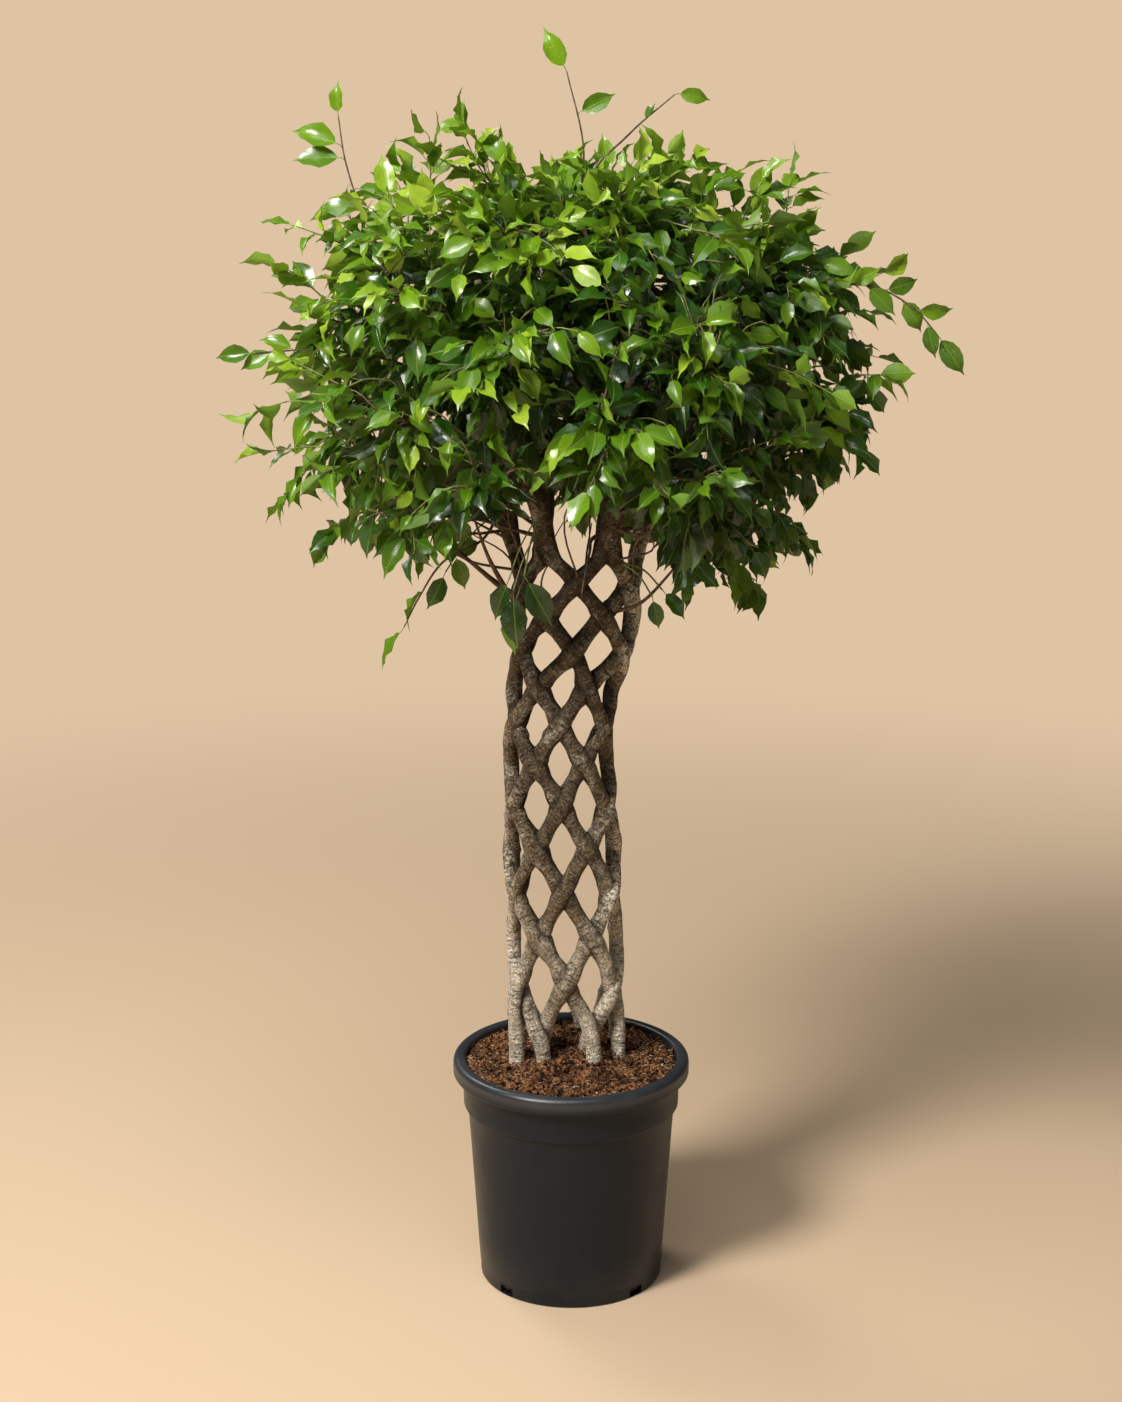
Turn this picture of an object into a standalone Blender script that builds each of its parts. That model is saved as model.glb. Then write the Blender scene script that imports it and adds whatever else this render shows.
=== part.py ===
"""Potted weeping fig: twelve woven stems growing from a nursery pot into a leafy dome.

Run with: blender --background --python part.py
Units are metres and +Z is up. The origin is the middle of the pot's underside.
"""

import math
import random

import bmesh
import bpy
from mathutils import Matrix, Vector
from mathutils.bvhtree import BVHTree

CLEARANCE = 0.0004          # gap kept between neighbouring pieces

# ---- pot ------------------------------------------------------------------------------
POT_HEIGHT = 0.296
POT_BASE_RADIUS = 0.1165
POT_RIM_RADIUS = 0.150
POT_RIM_DROP = 0.022        # height of the rolled rim
POT_WALL = 0.0025
POT_FLOOR = 0.004
COLLAR_RADIUS = 0.1370      # straight band just under the rim
COLLAR_BOTTOM = 0.234
COLLAR_EASE = 0.006         # the inside of the step, below and above it
BODY_TOP_RADIUS = 0.1315
FOOT_HEIGHT = 0.018
FOOT_STEP = 0.001           # how far the wall stands out above the foot
POT_SEGMENTS = 40
NOTCH_WIDTH = 0.0155
NOTCH_HEIGHT = 0.010
NOTCH_DEPTH = 0.012
NOTCH_COUNT = 4

# ---- soil -----------------------------------------------------------------------------
SOIL_EDGE_Z = 0.286
SOIL_MOUND = 0.010          # how far the middle stands above the edge
SOIL_SEGMENTS = 32

# ---- woven trunk ----------------------------------------------------------------------
STEM_PAIRS = 6              # stems winding each way round the trunk
STEM_SIDES = 7
WEAVE_OFFSET = 0.0075       # how far a stem swings out or in where it crosses another
WEAVE_FLATNESS = 1.5        # how long it stays swung out round each crossing
CROSSING_STEP = math.radians(180.0 / STEM_PAIRS)
FIRST_CROSSING_Z = 0.277    # height where the weave would start, inside the soil
CROSSING_RISE = 0.0665      # rise from one crossing to the next, at the bottom
CROSSING_SQUEEZE = 0.0011   # how much each following rise loses
WEAVE_TOP = 38.0 / 3.0      # crossings counted up to where the limbs leave
STRAIGHT_FOOT = 1.6         # below this crossing the stems turn straight down
TRUNK_Y = 0.025             # the trunk stands a little behind the pot's middle
EYE_HEIGHT = 1.57           # the rows line up front to back for a viewer at this height
EYE_DISTANCE = 3.10
ROOT_DEPTH = 0.045          # how deep the stems go into the soil
STEM_RINGS_PER_CROSSING = 3

# height, trunk centre x, trunk radius to the stem centres
TRUNK_STATIONS = (
    (0.240, -0.006, 0.0600),
    (0.450, -0.007, 0.0620),
    (0.570, -0.011, 0.0615),
    (0.710, -0.016, 0.0570),
    (0.770, -0.012, 0.0560),
    (0.840, -0.004, 0.0620),
    (0.920, 0.000, 0.0650),
    (1.050, 0.004, 0.0720),
)

STEM_RADIUS_FOOT = 0.0100   # half a stem's width along the trunk's surface
STEM_RADIUS_TOP = 0.0090
STEM_FLATNESS = 0.74        # its thickness as a share of its width, pressed flat by the weave
FOOT_STEP_OUT = 0.036       # the feet at both sides stand this much towards the front
FOOT_STEP_TOP = 1.9         # and are back in the ring at this crossing
LIMB_TIP_RADIUS = 0.0042

# ---- crown ----------------------------------------------------------------------------
CROWN_CENTRE = Vector((0.018, 0.020, 1.150))
CROWN_RADIUS = 0.350        # sideways reach of the dome
CROWN_TOP = 0.275           # rise above its centre
CROWN_BOTTOM = 0.270        # drop below its centre
LIMB_RISE = (0.235, 0.330)      # rise above the weave: spreading limbs, upright limbs
LIMB_SPREAD = (0.110, 0.045)    # outward reach of the same two
LIMB_RINGS = 6
TWIG_SIDES = 4
TWIG_RADIUS = 0.0030
TWIG_TIP_RADIUS = 0.0011
LEAF_LENGTH = 0.058
LEAF_WIDTH = 0.027
LEAF_THICKNESS = 0.0012
LEAVES_PER_BRANCH = 6
SIDE_TWIGS = 2              # forks on each leafy branch
SIDE_TWIG_LENGTH = 0.095
SIDE_TWIG_RADIUS = 0.0018
SIDE_LEAVES = 3
COLLAR_RUN = 0.012          # a branch first runs straight away from its limb
BRANCH_TRIES = 40
LEAF_TRIES = 30
SEED = 41

# spreading limbs and upright limbs: place along the limb and elevation of each branch's aim
BRANCH_PLAN = (
    ((0.14, -44.0), (0.52, -4.0), (1.0, 34.0)),
    ((0.20, -18.0), (0.62, 18.0), (1.0, 60.0)),
)

# name, place along its limb, points the shoot passes through, leaves
LONG_SHOOTS = (
    ("top_shoot", 1.0, ((0.008, -0.010, 1.360), (0.018, -0.020, 1.430),
                        (0.004, -0.020, 1.505)), 5),
    ("upper_left_shoot", 1.0, ((-0.150, 0.000, 1.330), (-0.215, -0.010, 1.420),
                               (-0.246, -0.015, 1.470)), 6),
    ("upper_right_shoot", 1.0, ((0.065, 0.030, 1.360), (0.100, 0.030, 1.435),
                                (0.140, 0.030, 1.470)), 4),
    ("right_shoot", 1.0, ((0.200, 0.000, 1.225), (0.300, -0.010, 1.255),
                          (0.365, -0.015, 1.245), (0.408, -0.020, 1.225)), 8),
    ("left_shoot", 0.80, ((-0.180, 0.010, 1.165), (-0.290, 0.005, 1.188),
                          (-0.360, 0.000, 1.188)), 6),
    ("low_left_shoot", 0.36, ((-0.105, 0.000, 0.965), (-0.160, -0.020, 0.925),
                              (-0.200, -0.035, 0.865)), 5),
)


# ---- small tools ----------------------------------------------------------------------
def clear_scene():
    for item in list(bpy.data.objects):
        bpy.data.objects.remove(item, do_unlink=True)


def make_material(name, colour, roughness):
    material = bpy.data.materials.new(name)
    material.use_nodes = True
    surface = material.node_tree.nodes["Principled BSDF"]
    surface.inputs["Base Color"].default_value = (*colour, 1.0)
    surface.inputs["Roughness"].default_value = roughness
    surface.inputs["Metallic"].default_value = 0.0
    return material


def make_object(name, bm, material):
    bmesh.ops.recalc_face_normals(bm, faces=bm.faces)
    mesh = bpy.data.meshes.new(name)
    bm.to_mesh(mesh)
    bm.free()
    mesh.materials.append(material)
    item = bpy.data.objects.new(name, mesh)
    bpy.context.collection.objects.link(item)
    return item


def lathe(profile, segments):
    """Closed solid turned from (radius, height) points that start and end on the axis."""
    bm = bmesh.new()
    rings = []
    for radius, height in profile:
        if radius == 0.0:
            rings.append([bm.verts.new((0.0, 0.0, height))])
            continue
        ring = []
        for step in range(segments):
            turn = 2.0 * math.pi * step / segments
            ring.append(bm.verts.new((radius * math.cos(turn), radius * math.sin(turn), height)))
        rings.append(ring)
    for low, high in zip(rings, rings[1:]):
        for step in range(segments):
            after = (step + 1) % segments
            if len(low) == 1:
                bm.faces.new((low[0], high[after], high[step]))
            elif len(high) == 1:
                bm.faces.new((low[step], low[after], high[0]))
            else:
                bm.faces.new((low[step], low[after], high[after], high[step]))
    return bm


def add_tube(bm, points, radii, sides, spin=0.0):
    """Capped tube along points; its rings are carried along without twisting."""
    rings = []
    tangent = (points[1] - points[0]).normalized()
    side = tangent.orthogonal().normalized()
    for index, point in enumerate(points):
        before = points[max(index - 1, 0)]
        after = points[min(index + 1, len(points) - 1)]
        tangent = (after - before).normalized()
        side = (side - tangent * side.dot(tangent)).normalized()
        across = tangent.cross(side)
        ring = []
        for step in range(sides):
            turn = spin + 2.0 * math.pi * step / sides
            offset = side * math.cos(turn) + across * math.sin(turn)
            ring.append(bm.verts.new(point + offset * radii[index]))
        rings.append(ring)
    for low, high in zip(rings, rings[1:]):
        for step in range(sides):
            after = (step + 1) % sides
            bm.faces.new((low[step], low[after], high[after], high[step]))
    bm.faces.new(reversed(rings[0]))
    bm.faces.new(rings[-1])
    return rings


def blend(start, end, share):
    return start + (end - start) * share


def blend_stations(height, column):
    """Smooth value of one column of TRUNK_STATIONS at a height."""
    stations = TRUNK_STATIONS
    if height <= stations[0][0]:
        return stations[0][column]
    for low, high in zip(stations, stations[1:]):
        if height <= high[0]:
            share = (height - low[0]) / (high[0] - low[0])
            return blend(low[column], high[column], share * share * (3.0 - 2.0 * share))
    return stations[-1][column]


def smooth_path(points, steps):
    """Points along a smooth curve through the given ones, without overshoot at short spans."""
    spans = [(after - before) for before, after in zip(points, points[1:])]
    headings = [spans[0].normalized()]
    for before, after in zip(spans, spans[1:]):
        headings.append((before.normalized() + after.normalized()).normalized())
    headings.append(spans[-1].normalized())
    path = []
    for index, span in enumerate(spans):
        start, end = points[index], points[index + 1]
        leave = headings[index] * span.length
        arrive = headings[index + 1] * span.length
        for step in range(steps):
            t = step / steps
            path.append(start * (2.0 * t ** 3 - 3.0 * t * t + 1.0)
                        + leave * (t ** 3 - 2.0 * t * t + t)
                        + end * (3.0 * t * t - 2.0 * t ** 3)
                        + arrive * (t ** 3 - t * t))
    path.append(points[-1])
    return path


def point_along(path, share):
    """Point and direction at a share of a path's length, 0 at its start and 1 at its end."""
    lengths = [(after - before).length for before, after in zip(path, path[1:])]
    wanted = share * sum(lengths)
    for index, length in enumerate(lengths):
        if wanted <= length or index == len(lengths) - 1:
            direction = (path[index + 1] - path[index]).normalized()
            return path[index] + direction * min(wanted, length), direction
        wanted -= length
    return path[-1], (path[-1] - path[-2]).normalized()


# ---- pot ------------------------------------------------------------------------------
def pot_outer_radius(height):
    """Outside radius of the tapered wall below the collar."""
    share = (height - FOOT_HEIGHT) / (COLLAR_BOTTOM - FOOT_HEIGHT)
    return blend(POT_BASE_RADIUS + FOOT_STEP, BODY_TOP_RADIUS, share)


def pot_inner_radius(height):
    return pot_outer_radius(height) - POT_WALL


def build_pot(material):
    rim_low = POT_HEIGHT - POT_RIM_DROP
    roll = 0.004
    profile = [
        (0.0, 0.0),
        (POT_BASE_RADIUS - 0.002, 0.0),
        (POT_BASE_RADIUS, 0.002),
        (POT_BASE_RADIUS, FOOT_HEIGHT),
        (POT_BASE_RADIUS + FOOT_STEP, FOOT_HEIGHT + FOOT_STEP),
        (BODY_TOP_RADIUS, COLLAR_BOTTOM - 0.002),
        (COLLAR_RADIUS - 0.001, COLLAR_BOTTOM),
        (COLLAR_RADIUS, rim_low),
        (POT_RIM_RADIUS - 0.0015, rim_low),
        (POT_RIM_RADIUS, rim_low + 0.0015),
        (POT_RIM_RADIUS, POT_HEIGHT - roll),
        (POT_RIM_RADIUS - 0.3 * roll, POT_HEIGHT - 0.3 * roll),
        (POT_RIM_RADIUS - roll, POT_HEIGHT),
        (COLLAR_RADIUS + 0.001, POT_HEIGHT),
        (COLLAR_RADIUS - POT_WALL, POT_HEIGHT - 0.003),
        (COLLAR_RADIUS - POT_WALL, COLLAR_BOTTOM + 0.8 * COLLAR_EASE),
        (pot_inner_radius(COLLAR_BOTTOM - COLLAR_EASE), COLLAR_BOTTOM - COLLAR_EASE),
        (pot_inner_radius(POT_FLOOR) - FOOT_STEP, POT_FLOOR),
        (0.0, POT_FLOOR),
    ]
    pot = make_object("pot", lathe(profile, POT_SEGMENTS), material)
    for number in range(NOTCH_COUNT):
        turn = math.radians(45.0) + 2.0 * math.pi * number / NOTCH_COUNT
        cut_notch(pot, turn, number)
    return pot


def cut_notch(pot, turn, number):
    """Drain notch through the lower corner of the wall."""
    bm = bmesh.new()
    bmesh.ops.create_cube(bm, size=1.0)
    bmesh.ops.scale(bm, vec=(NOTCH_DEPTH, NOTCH_WIDTH, 2.0 * NOTCH_HEIGHT), verts=bm.verts)
    cutter = make_object("cut_notch_%d" % number, bm, pot.data.materials[0])
    cutter.matrix_world = (Matrix.Rotation(turn, 4, "Z")
                           @ Matrix.Translation((POT_BASE_RADIUS + FOOT_STEP, 0.0, 0.0)))
    add_boolean(pot, cutter, "DIFFERENCE")


def add_boolean(target, other, operation):
    other.hide_render = True
    other.display_type = "WIRE"
    modifier = target.modifiers.new(other.name, "BOOLEAN")
    modifier.operation = operation
    modifier.object = other
    modifier.solver = "EXACT"
    return modifier


# ---- soil -----------------------------------------------------------------------------
def build_soil(material, stem_cutters):
    """Soil that fills the pot, domed in the middle, with a socket for every stem."""
    bottom = POT_FLOOR + CLEARANCE
    wall_gap = 1.8 * CLEARANCE
    neck = COLLAR_BOTTOM - COLLAR_EASE
    edge_radius = COLLAR_RADIUS - POT_WALL - wall_gap
    profile = [
        (0.0, bottom),
        (pot_inner_radius(POT_FLOOR) - FOOT_STEP - wall_gap, bottom),
        (pot_inner_radius(neck) - wall_gap, neck - CLEARANCE),
        (edge_radius, COLLAR_BOTTOM + COLLAR_EASE),
        (edge_radius, SOIL_EDGE_Z),
        (edge_radius * 0.80, SOIL_EDGE_Z + 0.5 * SOIL_MOUND),
        (edge_radius * 0.50, SOIL_EDGE_Z + 0.95 * SOIL_MOUND),
        (0.0, SOIL_EDGE_Z + SOIL_MOUND),
    ]
    soil = make_object("potting_soil", lathe(profile, SOIL_SEGMENTS), material)
    for cutter in stem_cutters:
        add_boolean(soil, cutter, "DIFFERENCE")
    return soil


# ---- woven trunk ----------------------------------------------------------------------
def crossing_height(level):
    return FIRST_CROSSING_Z + CROSSING_RISE * level - CROSSING_SQUEEZE * level * level


def winding(level):
    """Crossings wound so far: the stems turn straight down near the soil."""
    short = max(0.0, STRAIGHT_FOOT - level)
    return level + short * short / (2.0 * STRAIGHT_FOOT)


def foot_step(level, angle):
    """How far a stem at one of the trunk's sides stands forward of the ring near its foot."""
    share = min(1.0, max(0.0, level / FOOT_STEP_TOP))
    return FOOT_STEP_OUT * (1.0 - share * share * (3.0 - 2.0 * share)) * math.sin(angle) ** 6


def stem_angle(level, first, direction):
    """Place round the trunk; direction is 1 for stems that wind to the right."""
    return CROSSING_STEP * (2 * first + direction * winding(level))


def stem_outward(level, first, direction):
    """The way out from the trunk's axis at a stem, which its flat side faces."""
    angle = stem_angle(level, first, direction)
    return Vector((math.sin(angle), -math.cos(angle), 0.0))


def weave_point(level, first, direction):
    """Centre of a stem at a level."""
    wound = winding(level)
    angle = stem_angle(level, first, direction)
    height = crossing_height(level)
    radius = blend_stations(height, 2)
    drop = radius * (1.0 - math.cos(angle)) * (EYE_HEIGHT - height) / EYE_DISTANCE
    wave = math.tanh(WEAVE_FLATNESS * math.cos(math.pi * wound)) / math.tanh(WEAVE_FLATNESS)
    swing = WEAVE_OFFSET * wave * direction
    reach = radius + swing
    return Vector((blend_stations(height, 1) + reach * math.sin(angle),
                   TRUNK_Y - reach * math.cos(angle) - foot_step(level, angle),
                   height - drop))


def stem_path(first, direction):
    """Centre line of one stem and its radii, from its foot in the soil to its limb's tip."""
    steps = round(WEAVE_TOP * STEM_RINGS_PER_CROSSING)
    levels = [WEAVE_TOP * step / steps for step in range(steps + 1)]
    woven = [weave_point(level, first, direction) for level in levels]
    root_z = SOIL_EDGE_Z - ROOT_DEPTH
    levels = [level for level, point in zip(levels, woven) if point.z > root_z + 0.5 * ROOT_DEPTH]
    woven = [point for point in woven if point.z > root_z + 0.5 * ROOT_DEPTH]
    woven.insert(0, Vector((woven[0].x, woven[0].y, root_z)))
    levels.insert(0, levels[0])
    outward = [stem_outward(level, first, direction) for level in levels]
    outward += [outward[-1]] * LIMB_RINGS
    limb = limb_points(woven[-1], woven[-2], direction)
    last_woven = len(woven) - 1
    radii = [blend(STEM_RADIUS_FOOT, STEM_RADIUS_TOP, index / last_woven)
             for index in range(len(woven))]
    radii += [blend(STEM_RADIUS_TOP, LIMB_TIP_RADIUS, index / LIMB_RINGS)
              for index in range(1, LIMB_RINGS + 1)]
    return woven + limb[1:], radii, limb, outward


def limb_points(start, before, direction):
    """The free limb above the weave: up, and outwards more and more."""
    kind = 0 if direction > 0 else 1
    axis = Vector((blend_stations(start.z, 1), TRUNK_Y, start.z))
    outward = (start - axis)
    outward.z = 0.0
    outward.normalize()
    lead = (start - before).normalized()
    lift = crossing_height(WEAVE_TOP) + LIMB_RISE[kind] - start.z
    points = []
    for step in range(LIMB_RINGS + 1):
        share = step / LIMB_RINGS
        settle = lead * 0.05 * share * (1.0 - share) ** 2
        spread = outward * LIMB_SPREAD[kind] * share ** 1.6
        points.append(start + settle + spread + Vector((0.0, 0.0, lift * share)))
    return points


def add_stem(bm, points, radii, thickness, outward):
    """Capped tube along points whose thickness lies along the ways outward."""
    rings = []
    for index, point in enumerate(points):
        before = points[max(index - 1, 0)]
        after = points[min(index + 1, len(points) - 1)]
        tangent = (after - before).normalized()
        side = (outward[index] - tangent * outward[index].dot(tangent)).normalized()
        across = tangent.cross(side)
        ring = []
        for step in range(STEM_SIDES):
            turn = 2.0 * math.pi * step / STEM_SIDES
            offset = (side * thickness[index] * math.cos(turn)
                      + across * radii[index] * math.sin(turn))
            ring.append(bm.verts.new(point + offset))
        rings.append(ring)
    for low, high in zip(rings, rings[1:]):
        for step in range(STEM_SIDES):
            after = (step + 1) % STEM_SIDES
            bm.faces.new((low[step], low[after], high[after]))
            bm.faces.new((low[step], high[after], high[step]))
    bm.faces.new(reversed(rings[0]))
    bm.faces.new(rings[-1])


def stem_thickness(radii):
    """Half thickness along a stem: pressed flat in the weave, round at its limb's tip."""
    woven = len(radii) - LIMB_RINGS
    shares = [0.0] * woven + [step / LIMB_RINGS for step in range(1, LIMB_RINGS + 1)]
    return [radius * blend(STEM_FLATNESS, 1.0, share) for radius, share in zip(radii, shares)]


def build_stems(material):
    """Twelve stems, the cutters for their sockets, and the limbs that carry branches."""
    stems, cutters, limbs = [], [], []
    number = 0
    for first in range(STEM_PAIRS):
        for direction in (1, -1):
            number += 1
            points, radii, limb, outward = stem_path(first, direction)
            bm = bmesh.new()
            thickness = stem_thickness(radii)
            add_stem(bm, points, radii, thickness, outward)
            stems.append(make_object("stem_%02d" % number, bm, material))
            socket = bmesh.new()
            buried = [point for point in points if point.z < SOIL_EDGE_Z + 2.0 * ROOT_DEPTH]
            wide = [radius + CLEARANCE for radius in radii[:len(buried)]]
            thick = [radius + CLEARANCE for radius in thickness[:len(buried)]]
            buried[0] = buried[0] - Vector((0.0, 0.0, CLEARANCE))
            add_stem(socket, buried, wide, thick, outward)
            cutters.append(make_object("cut_socket_%02d" % number, socket, material))
            limbs.append((limb, radii[-len(limb):]))
    return stems, cutters, limbs


# ---- crown ----------------------------------------------------------------------------
class Solid:
    """A mesh's faces for clearance tests, with its box for a quick first look."""

    def __init__(self, verts, faces):
        self.low = Vector([min(v[axis] for v in verts) for axis in range(3)])
        self.high = Vector([max(v[axis] for v in verts) for axis in range(3)])
        self.tree = BVHTree.FromPolygons(verts, faces)

    @classmethod
    def from_bmesh(cls, bm):
        bm.verts.index_update()
        verts = [vert.co.copy() for vert in bm.verts]
        return cls(verts, [[vert.index for vert in face.verts] for face in bm.faces])

    def meets(self, other):
        for axis in range(3):
            if self.low[axis] > other.high[axis] or other.low[axis] > self.high[axis]:
                return False
        return bool(self.tree.overlap(other.tree))


def crown_point(azimuth, elevation, share):
    """Point at a share of the way from the crown's centre to its outline."""
    level = math.sin(elevation)
    height = CROWN_TOP if level > 0.0 else CROWN_BOTTOM
    flat = CROWN_RADIUS * math.cos(elevation)
    return CROWN_CENTRE + Vector((flat * math.sin(azimuth), -flat * math.cos(azimuth),
                                  height * level)) * share


def seat_on_limb(limb_solid, limb, share, outward):
    """Where a branch starts on a limb, a hair off its bark, and the way it leaves."""
    points, radii = limb
    centre, along = point_along(points, share)
    if share >= 1.0:
        return centre + along * CLEARANCE, along
    leave = (outward - along * outward.dot(along)).normalized()
    across = along.cross(leave)
    start = centre + leave * 1.3 * radii[0]
    for _ in range(4):
        rim = [start]
        for step in range(8):
            turn = math.pi * step / 4.0
            rim.append(start + (along * math.cos(turn) + across * math.sin(turn)) * TWIG_RADIUS)
        gaps = []
        for point in rim:
            nearest, normal = limb_solid.tree.find_nearest(point)[:2]
            gaps.append((point - nearest).length * (1.0 if (point - nearest).dot(normal) > 0.0
                                                    else -1.0))
        start -= leave * (min(gaps) - 1.2 * CLEARANCE)
    return start, leave


def twig_radii(count, radius):
    return [blend(radius, TWIG_TIP_RADIUS, index / (count - 1.0)) for index in range(count)]


def twig_shape(path, radius=TWIG_RADIUS, extra=0.0):
    bm = bmesh.new()
    radii = [value + extra for value in twig_radii(len(path), radius)]
    add_tube(bm, path, radii, TWIG_SIDES)
    return bm


def add_leaf(bm, base, along, upward, size, extra=0.0):
    """Leaf as a thin pointed plate whose stalk end is buried in its twig."""
    across = along.cross(upward).normalized()
    normal = across.cross(along).normalized()
    half = LEAF_THICKNESS / 2.0 + extra
    length = LEAF_LENGTH * size
    width = LEAF_WIDTH * size / 2.0 + extra
    start = base - along * (0.0006 + 2.0 * extra)
    outline = (
        start,
        start + along * length * 0.42 + across * width,
        start + along * (length + 4.0 * extra),
        start + along * length * 0.42 - across * width,
    )
    low = [bm.verts.new(point - normal * half) for point in outline]
    high = [bm.verts.new(point + normal * half) for point in outline]
    count = len(outline)
    bm.faces.new(reversed(low))
    bm.faces.new(high)
    for step in range(count):
        after = (step + 1) % count
        bm.faces.new((low[step], low[after], high[after], high[step]))


def leaf_shape(place, extra=0.0):
    bm = bmesh.new()
    add_leaf(bm, *place, extra=extra)
    return bm


def solid_of(bm):
    solid = Solid.from_bmesh(bm)
    bm.free()
    return solid


def leaf_direction(rng, point, along, side):
    """Leaves spread to both sides of the twig, outwards and down."""
    outward = point - CROWN_CENTRE
    outward.z *= 0.4
    outward.normalize()
    sideways = along.cross(Vector((0.0, 0.0, 1.0)))
    if sideways.length < 0.2:
        sideways = outward.cross(Vector((0.0, 0.0, 1.0)))
    sideways.normalize()
    aim = (along * 0.45 + sideways * side * rng.uniform(0.3, 0.9) + outward * 0.35
           + Vector((0.0, 0.0, -rng.uniform(0.35, 1.0))))
    return aim.normalized(), (outward * 0.9 + Vector((0.0, 0.0, 0.65))).normalized()


def is_clear(solid, obstacles, owner=None):
    """True if a solid meets none of the obstacles, apart from those of its own branch."""
    return not any(solid.meets(other) for name, other in obstacles if name != owner)


def grow_leaves(rng, name, path, count, first_share, obstacles):
    """Leaves set in turn along a twig wherever they clear everything else."""
    chosen = []
    for number in range(count):
        last = number == count - 1
        share = 0.97 if last else first_share + (1.0 - first_share) * (number + 0.5) / count
        side = 1.0 if number % 2 else -1.0
        for _ in range(LEAF_TRIES):
            point, along = point_along(path, min(0.985, share + rng.uniform(-0.02, 0.02)))
            aim, upward = leaf_direction(rng, point, along, side)
            if last:
                aim = (along * 1.1 + Vector((0.0, 0.0, -0.35))).normalized()
            place = (point, aim, upward, rng.uniform(0.85, 1.08))
            wide = solid_of(leaf_shape(place, extra=CLEARANCE))
            if is_clear(wide, obstacles, name):
                chosen.append(place)
                obstacles.append((name + "_leaf", wide))
                break
    return chosen


def build_branch(name, twigs, leaves, twig_material, leaf_material):
    """One leafy branch: a tapered twig with its side twigs and leaves joined to it."""
    branch = make_object(name, twig_shape(twigs[0]), twig_material)
    if len(twigs) > 1:
        bm = bmesh.new()
        for path in twigs[1:]:
            add_tube(bm, path, twig_radii(len(path), SIDE_TWIG_RADIUS), TWIG_SIDES)
        add_boolean(branch, make_object("cut_twigs_" + name, bm, twig_material), "UNION")
    bm = bmesh.new()
    for place in leaves:
        add_leaf(bm, *place)
    add_boolean(branch, make_object("cut_leaves_" + name, bm, leaf_material), "UNION")


def fork_branch(rng, name, path, obstacles):
    """Side twigs that leave a branch to the left and right where the way is clear."""
    forks = []
    for number in range(SIDE_TWIGS):
        side = 1.0 if number % 2 else -1.0
        for _ in range(BRANCH_TRIES):
            share = 0.35 + 0.25 * number + rng.uniform(-0.06, 0.06)
            start, along = point_along(path, share)
            sideways = along.cross(Vector((0.0, 0.0, 1.0)))
            if sideways.length < 0.3:
                sideways = Vector((rng.uniform(-1.0, 1.0), rng.uniform(-1.0, 1.0), 0.0))
            sideways.normalize()
            aim = (along * 0.75 + sideways * side * rng.uniform(0.5, 1.0)
                   + Vector((0.0, 0.0, rng.uniform(-0.35, 0.45)))).normalized()
            length = SIDE_TWIG_LENGTH * rng.uniform(0.8, 1.1)
            bend = start + aim * length * 0.55 + Vector((0.0, 0.0, 0.006))
            fork = [start, bend, start + aim * length - Vector((0.0, 0.0, 0.008))]
            wide = solid_of(twig_shape(fork, SIDE_TWIG_RADIUS, CLEARANCE))
            if is_clear(wide, obstacles, name):
                forks.append(fork)
                obstacles.append((name + "_fork", wide))
                break
    return forks


def plan_branch(rng, start, leave, goal, reach):
    """Points of a twig from its seat, out along the way it leaves, and on to its goal."""
    first = start + leave * COLLAR_RUN
    middle = first.lerp(goal, 0.5) + Vector((0.0, 0.0, reach * rng.uniform(0.02, 0.09)))
    middle += Vector((rng.uniform(-0.01, 0.01), rng.uniform(-0.01, 0.01), 0.0))
    return smooth_path([start, first, middle, goal], 2)


def limb_towards(limbs, taken, goal):
    """The free limb whose tip lies nearest to the way to a goal."""
    def miss(index):
        tip = limbs[index][0][-1]
        return abs((math.atan2(tip.x, -(tip.y - TRUNK_Y))
                    - math.atan2(goal.x, -(goal.y - TRUNK_Y)) + math.pi) % (2.0 * math.pi)
                   - math.pi)
    return min((index for index in range(len(limbs)) if index not in taken), key=miss)


def plan_long_shoots(limbs, stem_solids, obstacles, taken):
    placed = []
    for name, share, route, leaves in LONG_SHOOTS:
        index = limb_towards(limbs, taken, Vector(route[0]))
        if share >= 1.0:
            taken.add(index)
        outward = Vector(route[0]) - point_along(limbs[index][0], share)[0]
        start, leave = seat_on_limb(stem_solids[index], limbs[index], share, outward)
        path = smooth_path([start, start + leave * COLLAR_RUN] + [Vector(p) for p in route], 2)
        obstacles.append((name, solid_of(twig_shape(path, extra=CLEARANCE))))
        placed.append((name, path, leaves, 0))
    return placed


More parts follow.
